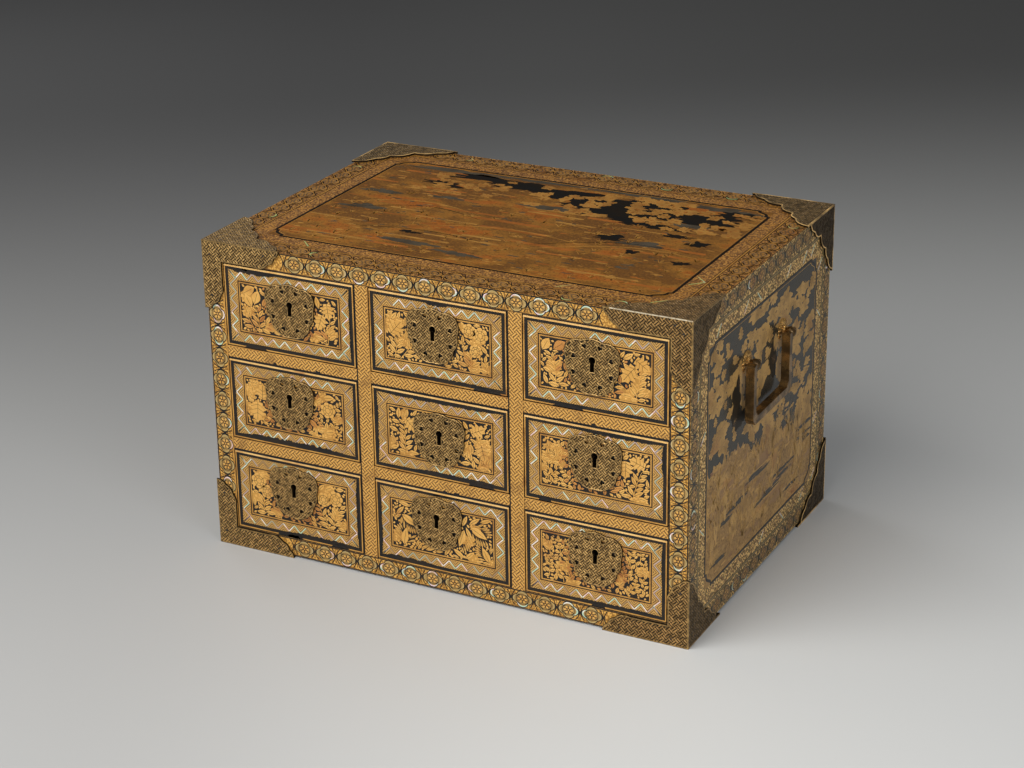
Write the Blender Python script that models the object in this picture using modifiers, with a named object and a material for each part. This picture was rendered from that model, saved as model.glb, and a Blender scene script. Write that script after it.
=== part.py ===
"""Lacquer table cabinet with nine locking drawers, gilt corner mounts and a bail handle on each side.

Metres, +Z up. The front faces -Y, +X is on the viewer's right, and the origin is on the surface that the
cabinet stands on, under its middle.
"""

import math

import bmesh
import bpy
from mathutils import Matrix, Vector

MM = 0.001

# Overall size, measured over the corner mounts
WIDTH = 440 * MM
DEPTH = 306 * MM
HEIGHT = 277 * MM

# Corner mounts: sheet metal bent round each corner
MOUNT_SHEET = 1.7 * MM
MOUNT_FRONT_REACH = 75 * MM
MOUNT_FRONT_DROP = 60 * MM
MOUNT_REACH_SLANT = 25 * MM
MOUNT_DROP_SLANT = 22 * MM
MOUNT_TOP_REACH = 73 * MM
MOUNT_TOP_RETURN = 65 * MM
MOUNT_SIDE_REACH = 58 * MM
MOUNT_SIDE_DROP = 59 * MM
MOUNT_LOBE_RISE = 0.16

# Carcass boards
SIDE_BOARD = 17 * MM
TOP_BOARD = 16 * MM
BOTTOM_BOARD = 16 * MM
BACK_BOARD = 10 * MM
DIVIDER_BOARD = 13 * MM
SHELF_BOARD = 11 * MM
SHELF_NOTCH_DEPTH = 150 * MM
BOARD_ARRIS = 0.6 * MM

# Drawers
ROWS = ("upper", "middle", "lower")
COLUMNS = ("left", "centre", "right")
FRONT_BOARD = 12 * MM
TRAY_WALL = 7 * MM
TRAY_FLOOR = 5 * MM
TRAY_HEIGHT = 60 * MM
TRAY_BACK_ROOM = 4 * MM

# Locks: a pierced plate on the drawer front, a case let into the wood and a bolt that rises from it
PLATE_SHEET = 1.3 * MM
PLATE_HALF_WIDTH = 22.4 * MM
PLATE_RISE = 23.6 * MM
PLATE_DROP = 24.2 * MM
PLATE_LOBE_RISE = 0.13
PIERCING_CIRCLE = 17.5 * MM
PIERCING_SIZE = 2.1 * MM
PIERCINGS = 8
KEYHOLE_HEAD = 5.6 * MM
KEYHOLE_SLOT = 3.4 * MM
KEYHOLE_TALL = 12.5 * MM
KEYHOLE_LIFT = 1.7 * MM
CASE_WIDTH = 24 * MM
CASE_TALL = 26 * MM
CASE_DEEP = 9.6 * MM
BOLT_WIDTH = 8 * MM
BOLT_THICK = 3 * MM
BOLT_THROW = 5 * MM
BOLT_SUNK = 0.4 * MM
# Each lock was set by eye: how far right of and above the middle of its drawer front it sits, in millimetres
LOCK_PLACES = {
    "upper": ((1.5, 4.0), (-3.5, 5.0), (-2.0, 3.0)),
    "middle": ((-3.0, 5.5), (0.0, -0.5), (0.0, 7.0)),
    "lower": ((-3.5, 7.5), (-4.5, 8.0), (0.5, 7.5)),
}

# Bail handles and the posts that carry them
PIVOT_HEIGHT = 201.5 * MM
PIVOT_STAND_OFF = 7.8 * MM
POST_SPREAD = 78 * MM
BAIL_ARM = 5.6 * MM
BAIL_DEEP = 7.4 * MM
BAIL_HEEL = 2.5 * MM
BAIL_SHOULDER = 4 * MM
BAIL_DROP = 49.5 * MM
BAIL_BAR = 6.2 * MM
BAIL_CORNER = 4.5 * MM
BAIL_ARRIS = 0.7 * MM
PIN_DIAMETER = 4.2 * MM
PIN_END = 2.4 * MM
ROSETTE_DIAMETER = 17 * MM
ROSETTE_THICK = 1.8 * MM
SHANK_DIAMETER = 5.6 * MM
EYE_DIAMETER = 9.4 * MM

# Clearances
SEAT_GAP = 0.3 * MM
DRAWER_GAP = 0.6 * MM
TRAY_SIDE_GAP = 0.9 * MM
SLOT_GAP = 0.6 * MM
MOUNT_REVEAL = 0.5 * MM
PIN_GAP = 0.3 * MM
ARM_GAP = 0.4 * MM
KEYWAY_GAP = 0.4 * MM

# Places that follow from the sizes above
MOUNT_PROUD = MOUNT_SHEET + SEAT_GAP
CARCASS_HALF_WIDTH = WIDTH / 2 - MOUNT_PROUD
CARCASS_HALF_DEPTH = DEPTH / 2 - MOUNT_PROUD
CARCASS_BOTTOM = MOUNT_PROUD
CARCASS_TOP = HEIGHT - MOUNT_PROUD
FRONT_Y = -CARCASS_HALF_DEPTH
BACK_FACE_Y = CARCASS_HALF_DEPTH - BACK_BOARD
INNER_HALF_WIDTH = CARCASS_HALF_WIDTH - SIDE_BOARD
INNER_BOTTOM = CARCASS_BOTTOM + BOTTOM_BOARD
INNER_TOP = CARCASS_TOP - TOP_BOARD
BAY_WIDTH = (2 * INNER_HALF_WIDTH - (len(COLUMNS) - 1) * DIVIDER_BOARD) / len(COLUMNS)
BAY_TALL = (INNER_TOP - INNER_BOTTOM - (len(ROWS) - 1) * SHELF_BOARD) / len(ROWS)
FRONT_WIDTH = BAY_WIDTH - 2 * DRAWER_GAP
FRONT_TALL = BAY_TALL - 2 * DRAWER_GAP
SHELF_BACK_Y = BACK_FACE_Y - SEAT_GAP
NOTCH_Y = FRONT_Y + SHELF_NOTCH_DEPTH
MORTISE_WIDTH = CASE_WIDTH + 2 * SEAT_GAP
MORTISE_TALL = CASE_TALL + 2 * SEAT_GAP
BOLT_Y = FRONT_BOARD / 2

# The axes that an outline is drawn on: its own X, Y and Z as directions of the object
PLANE_XY = Matrix.Identity(4)
PLANE_XZ = Matrix(((1, 0, 0, 0), (0, 0, 1, 0), (0, 1, 0, 0), (0, 0, 0, 1)))
PLANE_YZ = Matrix(((0, 0, 1, 0), (1, 0, 0, 0), (0, 1, 0, 0), (0, 0, 0, 1)))


def clear_scene():
    """Removes whatever the opened file holds and makes the collections for parts and cutters."""
    for obj in list(bpy.data.objects):
        bpy.data.objects.remove(obj, do_unlink=True)
    made = []
    for name in ("lacquer_cabinet", "cutters"):
        collection = bpy.data.collections.new(name)
        bpy.context.scene.collection.children.link(collection)
        made.append(collection)
    return made


def make_material(name, colour, roughness, metallic):
    material = bpy.data.materials.new(name)
    material.use_nodes = True
    shader = material.node_tree.nodes["Principled BSDF"]
    shader.inputs["Base Color"].default_value = (*colour, 1.0)
    shader.inputs["Roughness"].default_value = roughness
    shader.inputs["Metallic"].default_value = metallic
    material.diffuse_color = (*colour, 1.0)
    return material


PARTS, CUTTERS = clear_scene()
GOLD_LACQUER = make_material("gold_lacquer", (0.42, 0.25, 0.06), 0.35, 0.4)
BLACK_LACQUER = make_material("black_lacquer", (0.018, 0.017, 0.016), 0.22, 0.0)
INNER_LACQUER = make_material("inner_lacquer", (0.05, 0.022, 0.014), 0.4, 0.0)
GILT_COPPER = make_material("gilt_copper", (0.30, 0.20, 0.09), 0.45, 1.0)
DARK_IRON = make_material("dark_iron", (0.09, 0.085, 0.08), 0.55, 1.0)


def add_part(name, mesh, material, place, parent=None):
    """A finished piece: its mesh is drawn about its own origin, which goes to the given place."""
    mesh.name = name
    mesh.materials.clear()
    mesh.materials.append(material)
    obj = bpy.data.objects.new(name, mesh)
    obj.parent = parent
    obj.location = place
    PARTS.objects.link(obj)
    return obj


def add_cutter(name, mesh, place, parent=None):
    """A helper solid for a Boolean: it is not a piece of the cabinet."""
    obj = bpy.data.objects.new(name, mesh)
    obj.parent = parent
    obj.location = place
    obj.hide_render = True
    obj.display_type = "WIRE"
    CUTTERS.objects.link(obj)
    return obj


def boolean(obj, operation, helper):
    modifier = obj.modifiers.new(operation.lower(), "BOOLEAN")
    modifier.operation = operation
    modifier.solver = "EXACT"
    modifier.object = helper
    return modifier


def bevel(obj, width):
    modifier = obj.modifiers.new("arris", "BEVEL")
    modifier.width = width
    modifier.segments = 1
    modifier.limit_method = "ANGLE"
    modifier.angle_limit = math.radians(50)
    return modifier


def box_mesh(*boxes):
    """One mesh of boxes, each given by its lowest and highest corner."""
    shape = bmesh.new()
    for low, high in boxes:
        low = Vector(low)
        high = Vector(high)
        placed = Matrix.Translation((low + high) / 2) @ Matrix.Diagonal((*(high - low), 1.0))
        bmesh.ops.create_cube(shape, size=1.0, matrix=placed)
    mesh = bpy.data.meshes.new("box")
    shape.to_mesh(mesh)
    shape.free()
    return mesh


def slab_mesh(outlines, thickness, plane, lift=0.0, mirror=(1, 1, 1)):
    """A flat sheet cut to closed outlines, the first the edge and the others holes.

    It lies from lift to lift + thickness along the plane's third axis, and mirror flips it about X, Y or Z."""
    curve = bpy.data.curves.new("outline", "CURVE")
    curve.dimensions = "2D"
    curve.fill_mode = "BOTH"
    curve.extrude = thickness / 2
    for outline in outlines:
        spline = curve.splines.new("POLY")
        spline.points.add(len(outline) - 1)
        for point, (u, v) in zip(spline.points, outline):
            point.co = (u, v, 0.0, 1.0)
        spline.use_cyclic_u = True
    drawn = bpy.data.objects.new("outline", curve)
    PARTS.objects.link(drawn)
    graph = bpy.context.evaluated_depsgraph_get()
    mesh = bpy.data.meshes.new_from_object(drawn.evaluated_get(graph))
    bpy.data.objects.remove(drawn, do_unlink=True)
    bpy.data.curves.remove(curve)
    shape = bmesh.new()
    shape.from_mesh(mesh)
    bmesh.ops.remove_doubles(shape, verts=shape.verts, dist=0.001 * MM)
    lifted = Matrix.Translation((0, 0, lift + thickness / 2))
    bmesh.ops.transform(shape, matrix=Matrix.Diagonal((*mirror, 1)) @ plane @ lifted, verts=shape.verts)
    bmesh.ops.recalc_face_normals(shape, faces=shape.faces)
    shape.to_mesh(mesh)
    shape.free()
    return mesh


def lobed(cusps, rise, steps=4):
    """Points along a row of lobes that meet at the cusps. Each lobe bulges to the right of its run."""
    points = []
    for start, end in zip(cusps, cusps[1:]):
        start = Vector(start)
        run = Vector(end) - start
        out = Vector((run.y, -run.x)) * rise
        for step in range(steps):
            share = step / steps
            points.append(start + run * share + out * math.sin(math.pi * share))
    points.append(Vector(cusps[-1]))
    return [tuple(point) for point in points]


def row_middle(row):
    """Height of the middle of a row of drawers. Row 0 is the upper one."""
    return INNER_TOP - BAY_TALL / 2 - row * (BAY_TALL + SHELF_BOARD)


def column_middle(column):
    """Sideways place of the middle of a column of drawers. Column 0 is the left one."""
    return (column - (len(COLUMNS) - 1) / 2) * (BAY_WIDTH + DIVIDER_BOARD)


def lock_place(row, column):
    """The middle of a lock plate, seen from the front: sideways, and above its drawer's middle."""
    right, up = LOCK_PLACES[ROWS[row]][column]
    return right * MM, up * MM


def cut_bolt_slots(board, row):
    """Slots in the underside of the board above a row, for that row's bolts to rise into."""
    boxes = []
    ceiling = row_middle(row) + BAY_TALL / 2
    half_wide = BOLT_WIDTH / 2 + SLOT_GAP
    half_thick = BOLT_THICK / 2 + SLOT_GAP
    for column in range(len(COLUMNS)):
        x = column_middle(column) + lock_place(row, column)[0]
        y = FRONT_Y + BOLT_Y
        low = Vector((x - half_wide, y - half_thick, ceiling - SLOT_GAP))
        high = Vector((x + half_wide, y + half_thick, ceiling + BOLT_THROW + SLOT_GAP))
        boxes.append((low - board.location, high - board.location))
    slots = add_cutter(ROWS[row] + "_bolt_slots", box_mesh(*boxes), board.location)
    boolean(board, "DIFFERENCE", slots)


def build_board(name, size, middle, material):
    half = Vector(size) / 2
    board = add_part(name, box_mesh((-half, half)), material, middle)
    bevel(board, BOARD_ARRIS)
    return board


def build_carcass():
    full_width = 2 * CARCASS_HALF_WIDTH
    full_depth = 2 * CARCASS_HALF_DEPTH
    inner_tall = INNER_TOP - INNER_BOTTOM - 2 * SEAT_GAP
    inner_middle = (INNER_TOP + INNER_BOTTOM) / 2
    top = build_board(
        "top_panel", (full_width, full_depth, TOP_BOARD), (0, 0, CARCASS_TOP - TOP_BOARD / 2), GOLD_LACQUER
    )
    build_board(
        "bottom_panel",
        (full_width, full_depth, BOTTOM_BOARD),
        (0, 0, CARCASS_BOTTOM + BOTTOM_BOARD / 2),
        BLACK_LACQUER,
    )
    for side, name in ((-1, "left_side_panel"), (1, "right_side_panel")):
        middle = (side * (CARCASS_HALF_WIDTH - SIDE_BOARD / 2), 0, inner_middle)
        build_board(name, (SIDE_BOARD, full_depth, inner_tall), middle, GOLD_LACQUER)
    build_board(
        "back_panel",
        (2 * (INNER_HALF_WIDTH - SEAT_GAP), BACK_BOARD, inner_tall),
        (0, CARCASS_HALF_DEPTH - BACK_BOARD / 2, inner_middle),
        BLACK_LACQUER,
    )
    cut_bolt_slots(top, 0)
    for column, name in ((0, "left_divider"), (1, "right_divider")):
        build_divider(name, (column_middle(column) + column_middle(column + 1)) / 2)
    for row, name in ((0, "upper_shelf"), (1, "lower_shelf")):
        shelf = build_shelf(name, (row_middle(row) + row_middle(row + 1)) / 2)
        cut_bolt_slots(shelf, row + 1)


def build_divider(name, x):
    """An upright board that runs through at the front. Notches from behind let the shelves cross it."""
    half = DIVIDER_BOARD / 2
    low = (-half, FRONT_Y, INNER_BOTTOM + SEAT_GAP)
    high = (half, SHELF_BACK_Y, INNER_TOP - SEAT_GAP)
    divider = add_part(name, box_mesh((low, high)), GOLD_LACQUER, (x, 0, 0))
    notches = []
    half_notch = SHELF_BOARD / 2 + SEAT_GAP
    for row in range(len(ROWS) - 1):
        middle = (row_middle(row) + row_middle(row + 1)) / 2
        notch_low = (-half - SEAT_GAP, NOTCH_Y, middle - half_notch)
        notch_high = (half + SEAT_GAP, SHELF_BACK_Y + SEAT_GAP, middle + half_notch)
        notches.append((notch_low, notch_high))
    boolean(divider, "DIFFERENCE", add_cutter(name + "_notches", box_mesh(*notches), (x, 0, 0)))


def build_shelf(name, z):
    """A full-width shelf. Notches from the front let the upright dividers cross it."""
    half = SHELF_BOARD / 2
    half_width = INNER_HALF_WIDTH - SEAT_GAP
    board = box_mesh(((-half_width, FRONT_Y, -half), (half_width, SHELF_BACK_Y, half)))
    shelf = add_part(name, board, GOLD_LACQUER, (0, 0, z))
    notches = []
    half_notch = DIVIDER_BOARD / 2 + SEAT_GAP
    for column in range(len(COLUMNS) - 1):
        middle = (column_middle(column) + column_middle(column + 1)) / 2
        notch_low = (middle - half_notch, FRONT_Y - SEAT_GAP, -half - SEAT_GAP)
        notch_high = (middle + half_notch, NOTCH_Y + SEAT_GAP, half + SEAT_GAP)
        notches.append((notch_low, notch_high))
    boolean(shelf, "DIFFERENCE", add_cutter(name + "_notches", box_mesh(*notches), (0, 0, z)))
    return shelf


def front_leaf_outline():
    """The mount's leaf on the front: an L round the drawer opening, with lobed ends."""
    across = MOUNT_PROUD + TOP_BOARD - MOUNT_REVEAL
    upright = MOUNT_PROUD + SIDE_BOARD - MOUNT_REVEAL
    arm_end = [
        (MOUNT_FRONT_REACH, 0),
        (MOUNT_FRONT_REACH - 0.18 * MOUNT_REACH_SLANT, across * 0.40),
        (MOUNT_FRONT_REACH - 0.42 * MOUNT_REACH_SLANT, across * 0.76),
        (MOUNT_FRONT_REACH - MOUNT_REACH_SLANT, across),
    ]
    drop_end = [
        (upright, MOUNT_FRONT_DROP - MOUNT_DROP_SLANT),
        (upright * 0.86, MOUNT_FRONT_DROP - 0.55 * MOUNT_DROP_SLANT),
        (upright * 0.50, MOUNT_FRONT_DROP - 0.20 * MOUNT_DROP_SLANT),
        (0, MOUNT_FRONT_DROP),
    ]
    return [(0, 0)] + lobed(arm_end, MOUNT_LOBE_RISE) + [(upright, across)] + lobed(drop_end, MOUNT_LOBE_RISE)


def corner_leaf_outline(reach, drop):
    """The mount's leaf on the top or a side: a corner plate whose long edge is a row of lobes."""
    cusps = [
        (reach, 0),
        (reach * 0.82, drop * 0.19),
        (reach * 0.56, drop * 0.32),
        (reach * 0.34, drop * 0.58),
        (reach * 0.24, drop * 0.77),
        (0, drop),
    ]
    return [(0, 0)] + lobed(cusps, MOUNT_LOBE_RISE)


def build_mount(name, side, end, level):
    """A corner mount: three leaves of sheet that meet at one corner of the cabinet.

    side is -1 on the left, end is -1 at the front, and level is 1 at the top."""
    mirror = (-side, -end, -level)
    corner = (side * WIDTH / 2, end * DEPTH / 2, HEIGHT if level > 0 else 0)
    front = slab_mesh([front_leaf_outline()], MOUNT_SHEET, PLANE_XZ, mirror=mirror)
    top_outline = corner_leaf_outline(MOUNT_TOP_REACH, MOUNT_TOP_RETURN)
    top = slab_mesh([top_outline], MOUNT_SHEET, PLANE_XY, mirror=mirror)
    side_outline = corner_leaf_outline(MOUNT_SIDE_REACH, MOUNT_SIDE_DROP)
    flank = slab_mesh([side_outline], MOUNT_SHEET, PLANE_YZ, mirror=mirror)
    mount = add_part(name, front, GILT_COPPER, corner)
    for leaf, mesh in (("_flat_leaf", top), ("_side_leaf", flank)):
        boolean(mount, "UNION", add_cutter(name + leaf, mesh, corner))


def plate_outline():
    """The lock plate's edge: lobes round a shield that narrows to a rounded foot."""
    wide = PLATE_HALF_WIDTH
    right = [
        (0.42 * wide, 0.88 * PLATE_RISE),
        (0.96 * wide, 0.72 * PLATE_RISE),
        (wide, 0.12 * PLATE_RISE),
        (0.84 * wide, -0.42 * PLATE_DROP),
        (0.58 * wide, -0.82 * PLATE_DROP),
        (0, -PLATE_DROP * 0.97),
    ]
    left = [(-u, v) for u, v in reversed(right[:-1])]
    return lobed(list(reversed(right + left + right[:1])), PLATE_LOBE_RISE)[:-1]


def keyhole_outline(grow):
    """A keyhole: a round head over a straight slot."""
    radius = KEYHOLE_HEAD / 2 + grow
    half_slot = KEYHOLE_SLOT / 2 + grow
    head = KEYHOLE_LIFT + KEYHOLE_TALL / 2 - KEYHOLE_HEAD / 2
    foot = KEYHOLE_LIFT - KEYHOLE_TALL / 2 - grow
    start = math.asin(half_slot / radius)
    points = []
    for step in range(11):
        turn = -math.pi / 2 + start + (2 * math.pi - 2 * start) * step / 10
        points.append((radius * math.cos(turn), head + radius * math.sin(turn)))
    return points + [(-half_slot, foot), (half_slot, foot)]


def piercing_outlines():
    """Small heart-shaped piercings on a circle, each with its point towards the middle."""
    outlines = []
    heart = ((-1.1, 0.0), (-0.1, -0.95), (0.75, -0.75), (0.45, 0.0), (0.75, 0.75), (-0.1, 0.95))
    for index in range(PIERCINGS):
        turn = 2 * math.pi * (index + 0.5) / PIERCINGS
        along = Vector((math.cos(turn), math.sin(turn)))
        across = Vector((-along.y, along.x))
        middle = along * PIERCING_CIRCLE
        outlines.append([tuple(middle + (along * a + across * b) * PIERCING_SIZE) for a, b in heart])
    return outlines


def build_lock(name, place, parent):
    """The lock: its plate lies on the drawer front, and its case fills a mortise behind the plate."""
    plate = slab_mesh(
        [plate_outline(), keyhole_outline(0)] + piercing_outlines(),
        PLATE_SHEET,
        PLANE_XZ,
        lift=-SEAT_GAP - PLATE_SHEET,
    )
    half_wide = CASE_WIDTH / 2
    half_tall = CASE_TALL / 2
    rim = [(-half_wide, -half_tall), (half_wide, -half_tall), (half_wide, half_tall), (-half_wide, half_tall)]
    sunk = SEAT_GAP + PLATE_SHEET / 2
    case = slab_mesh([rim, keyhole_outline(KEYWAY_GAP)], CASE_DEEP + sunk, PLANE_XZ, lift=-sunk)
    lock = add_part(name, plate, GILT_COPPER, place, parent)
    boolean(lock, "UNION", add_cutter(name + "_case", case, place, parent))


def build_drawer(row, column):
    """One drawer: front board, tray, lock and bolt, all under an empty on the middle of its front face."""
    name = ROWS[row] + "_" + COLUMNS[column]
    drawer = bpy.data.objects.new(name + "_drawer", None)
    drawer.location = (column_middle(column), FRONT_Y, row_middle(row))
    drawer.empty_display_size = 20 * MM
    PARTS.objects.link(drawer)

    # The front board has a mortise for the lock case and a channel from it up to the top edge for the bolt
    half_wide = FRONT_WIDTH / 2
    half_tall = FRONT_TALL / 2
    board = box_mesh(((-half_wide, 0, -half_tall), (half_wide, FRONT_BOARD, half_tall)))
    front = add_part(name + "_drawer_front", board, GOLD_LACQUER, (0, 0, 0), drawer)
    bevel(front, BOARD_ARRIS)
    right, up = lock_place(row, column)
    mortise_top = up + MORTISE_TALL / 2
    channel_wide = BOLT_WIDTH / 2 + SEAT_GAP
    channel_thick = BOLT_THICK / 2 + SEAT_GAP
    mortise = box_mesh(
        (
            (right - MORTISE_WIDTH / 2, -SEAT_GAP, up - MORTISE_TALL / 2),
            (right + MORTISE_WIDTH / 2, CASE_DEEP + SEAT_GAP, mortise_top),
        )
    )
    channel = box_mesh(
        (
            (right - channel_wide, BOLT_Y - channel_thick, mortise_top - SEAT_GAP),
            (right + channel_wide, BOLT_Y + channel_thick, half_tall + SEAT_GAP),
        )
    )
    boolean(front, "DIFFERENCE", add_cutter(name + "_mortise", mortise, (0, 0, 0), drawer))
    boolean(front, "DIFFERENCE", add_cutter(name + "_channel", channel, (0, 0, 0), drawer))

    # The tray behind it is open at the top and at the front, where the front board closes it
    tray_half = BAY_WIDTH / 2 - TRAY_SIDE_GAP
    tray_front = FRONT_BOARD + SEAT_GAP
    tray_back = BACK_FACE_Y - TRAY_BACK_ROOM - FRONT_Y
    tray_low = -BAY_TALL / 2 + SEAT_GAP
    tray_high = tray_low + TRAY_HEIGHT
    block = box_mesh(((-tray_half, tray_front, tray_low), (tray_half, tray_back, tray_high)))
    tray = add_part(name + "_tray", block, INNER_LACQUER, (0, 0, 0), drawer)
    inner_half = tray_half - TRAY_WALL
    hollow = box_mesh(
        (
            (-inner_half, tray_front - SEAT_GAP, tray_low + TRAY_FLOOR),
            (inner_half, tray_back - TRAY_WALL, tray_high + SEAT_GAP),
        )
    )
    boolean(tray, "DIFFERENCE", add_cutter(name + "_hollow", hollow, (0, 0, 0), drawer))

    build_lock(name + "_lock", (right, 0, up), drawer)

    # The bolt rests just under the front's top edge and rises out of it
    bolt_low = up + CASE_TALL / 2 + SEAT_GAP
    bolt_high = half_tall - BOLT_SUNK
    half_bolt = BOLT_WIDTH / 2
    half_thick = BOLT_THICK / 2
    bolt = box_mesh(((-half_bolt, -half_thick, 0), (half_bolt, half_thick, bolt_high - bolt_low)))
    add_part(name + "_lock_bolt", bolt, DARK_IRON, (right, BOLT_Y, bolt_low), drawer)


def post_place(end):
    """How far in front of or behind the middle a post stands."""
    return end * POST_SPREAD / 2


def arm_place(end):
    """How far in front of or behind the middle a bail arm hangs: each just in front of its post."""
    return post_place(end) - EYE_DIAMETER / 2 - ARM_GAP - BAIL_ARM / 2


def bail_outline():
    """The bail seen from the side of the cabinet, about its pivot: a U with round shoulders and cut corners."""
    middle = (arm_place(-1) + arm_place(1)) / 2
    outer = (arm_place(1) - arm_place(-1) + BAIL_ARM) / 2
    inner = outer - BAIL_ARM
    low = -BAIL_DROP
    bar_top = low + BAIL_BAR
    cut = BAIL_CORNER
    right = []
    steps = 5
    for step in range(steps + 1):
        turn = math.pi / 2 * step / steps
        across = outer - BAIL_SHOULDER * (1 - math.cos(turn))
        right.append((across, BAIL_HEEL - BAIL_SHOULDER * (1 - math.sin(turn))))
    right += [(inner, BAIL_HEEL), (inner, bar_top + cut), (inner - cut, bar_top)]
    foot = [(outer - cut, low), (outer, low + cut)]
    inside = right + [(-u, v) for u, v in reversed(right)]
    outside = [(-u, v) for u, v in reversed(foot)] + foot
    return [(middle + u, v) for u, v in inside + outside]


def round_bar(name, diameter, length, place, parent=None):
    """A helper cylinder along Y."""
    shape = bmesh.new()
    bmesh.ops.create_cone(
        shape,
        cap_ends=True,
        segments=20,
        radius1=diameter / 2,
        radius2=diameter / 2,
        depth=length,
        matrix=Matrix.Rotation(math.pi / 2, 4, "X"),
    )
    mesh = bpy.data.meshes.new(name)
    shape.to_mesh(mesh)
    shape.free()
    return add_cutter(name, mesh, place, parent)


def post_mesh(side):
    """A turned post standing out along X: rosette, shank and round eye, about the eye's middle."""
    foot = -PIVOT_STAND_OFF + SEAT_GAP
    rosette = ROSETTE_DIAMETER / 2
    shank = SHANK_DIAMETER / 2
    eye = EYE_DIAMETER / 2
    profile = [(0, foot), (rosette, foot), (rosette, foot + ROSETTE_THICK * 0.5)]
    profile += [(rosette * 0.8, foot + ROSETTE_THICK), (shank, foot + ROSETTE_THICK)]
    neck = math.asin(shank / eye)
    for step in range(7):
        turn = neck + (math.pi - neck) * step / 6
        profile.append((eye * math.sin(turn), -eye * math.cos(turn)))
    shape = bmesh.new()
    dots = [shape.verts.new((along, radius, 0)) for radius, along in profile]
    edges = [shape.edges.new(pair) for pair in zip(dots, dots[1:])]
    bmesh.ops.spin(
        shape, geom=dots + edges, cent=(0, 0, 0), axis=(1, 0, 0), angle=2 * math.pi, steps=20, use_merge=True
    )
    bmesh.ops.remove_doubles(shape, verts=shape.verts, dist=0.01 * MM)
    bmesh.ops.scale(shape, vec=(side, 1, 1), verts=shape.verts)
    bmesh.ops.recalc_face_normals(shape, faces=shape.faces)
    mesh = bpy.data.meshes.new("post")
    shape.to_mesh(mesh)
    shape.free()
    mesh.shade_smooth()
    mesh.set_sharp_from_angle(angle=math.radians(35))
    return mesh


def build_handle(side, name):
    """A bail that hangs from two posts on one side of the cabinet and swings up about its pins."""
    pivot = Vector((side * (CARCASS_HALF_WIDTH + PIVOT_STAND_OFF), 0, PIVOT_HEIGHT))
    bar = slab_mesh([bail_outline()], BAIL_DEEP, PLANE_YZ, lift=-BAIL_DEEP / 2)
    bail = add_part(name + "_bail", bar, GILT_COPPER, pivot)
    bevel(bail, BAIL_ARRIS)
    for end, place in ((-1, "front"), (1, "rear")):
        reach = post_place(end) - arm_place(end) + EYE_DIAMETER / 2 + PIN_END
        spot = pivot + Vector((0, arm_place(end) + reach / 2, 0))
        boolean(bail, "UNION", round_bar(name + "_" + place + "_pin", PIN_DIAMETER, reach, spot))
        eye = pivot + Vector((0, post_place(end), 0))
        post = add_part(name + "_" + place + "_handle_post", post_mesh(side), GILT_COPPER, eye)
        bore = PIN_DIAMETER + 2 * PIN_GAP
        boolean(post, "DIFFERENCE", round_bar(name + "_" + place + "_eye", bore, 2 * EYE_DIAMETER, eye))


def main():
    build_carcass()
    for level, height in ((1, "top"), (-1, "base")):
        for end, place in ((-1, "front"), (1, "rear")):
            for side, hand in ((-1, "left"), (1, "right")):
                build_mount(height + "_" + place + "_" + hand + "_mount", side, end, level)
    for row in range(len(ROWS)):
        for column in range(len(COLUMNS)):
            build_drawer(row, column)
    for side, name in ((-1, "left"), (1, "right")):
        build_handle(side, name)


main()
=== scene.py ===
"""Looks of the lacquer cabinet: gold and black lacquer, shell inlay, engraved mounts, light and camera."""

import math
import random

import bpy
import numpy as np
from mathutils import Matrix, Vector


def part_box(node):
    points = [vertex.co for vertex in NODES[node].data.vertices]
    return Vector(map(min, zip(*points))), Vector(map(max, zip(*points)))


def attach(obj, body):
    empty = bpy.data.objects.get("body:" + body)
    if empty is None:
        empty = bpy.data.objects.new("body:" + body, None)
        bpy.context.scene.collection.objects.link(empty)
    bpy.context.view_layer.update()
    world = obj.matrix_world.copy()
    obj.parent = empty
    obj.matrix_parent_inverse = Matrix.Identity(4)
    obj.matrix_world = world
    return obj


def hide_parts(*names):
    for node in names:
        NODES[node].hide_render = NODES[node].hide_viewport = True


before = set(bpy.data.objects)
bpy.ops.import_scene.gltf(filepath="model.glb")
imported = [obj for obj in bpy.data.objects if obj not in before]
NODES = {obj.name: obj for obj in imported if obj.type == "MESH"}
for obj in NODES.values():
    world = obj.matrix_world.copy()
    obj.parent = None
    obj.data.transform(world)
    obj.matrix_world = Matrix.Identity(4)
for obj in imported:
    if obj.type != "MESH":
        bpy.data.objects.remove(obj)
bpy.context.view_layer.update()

MM = 0.001
FULL_TURN = 2 * math.pi
ROWS = ("upper", "middle", "lower")
COLUMNS = ("left", "centre", "right")
# Directions to the right, to the left, to the rear and up
RIGHTWARD = (1, 0, 0)
LEFTWARD = (-1, 0, 0)
REARWARD = (0, 1, 0)
UPWARD = (0, 0, 1)


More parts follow.
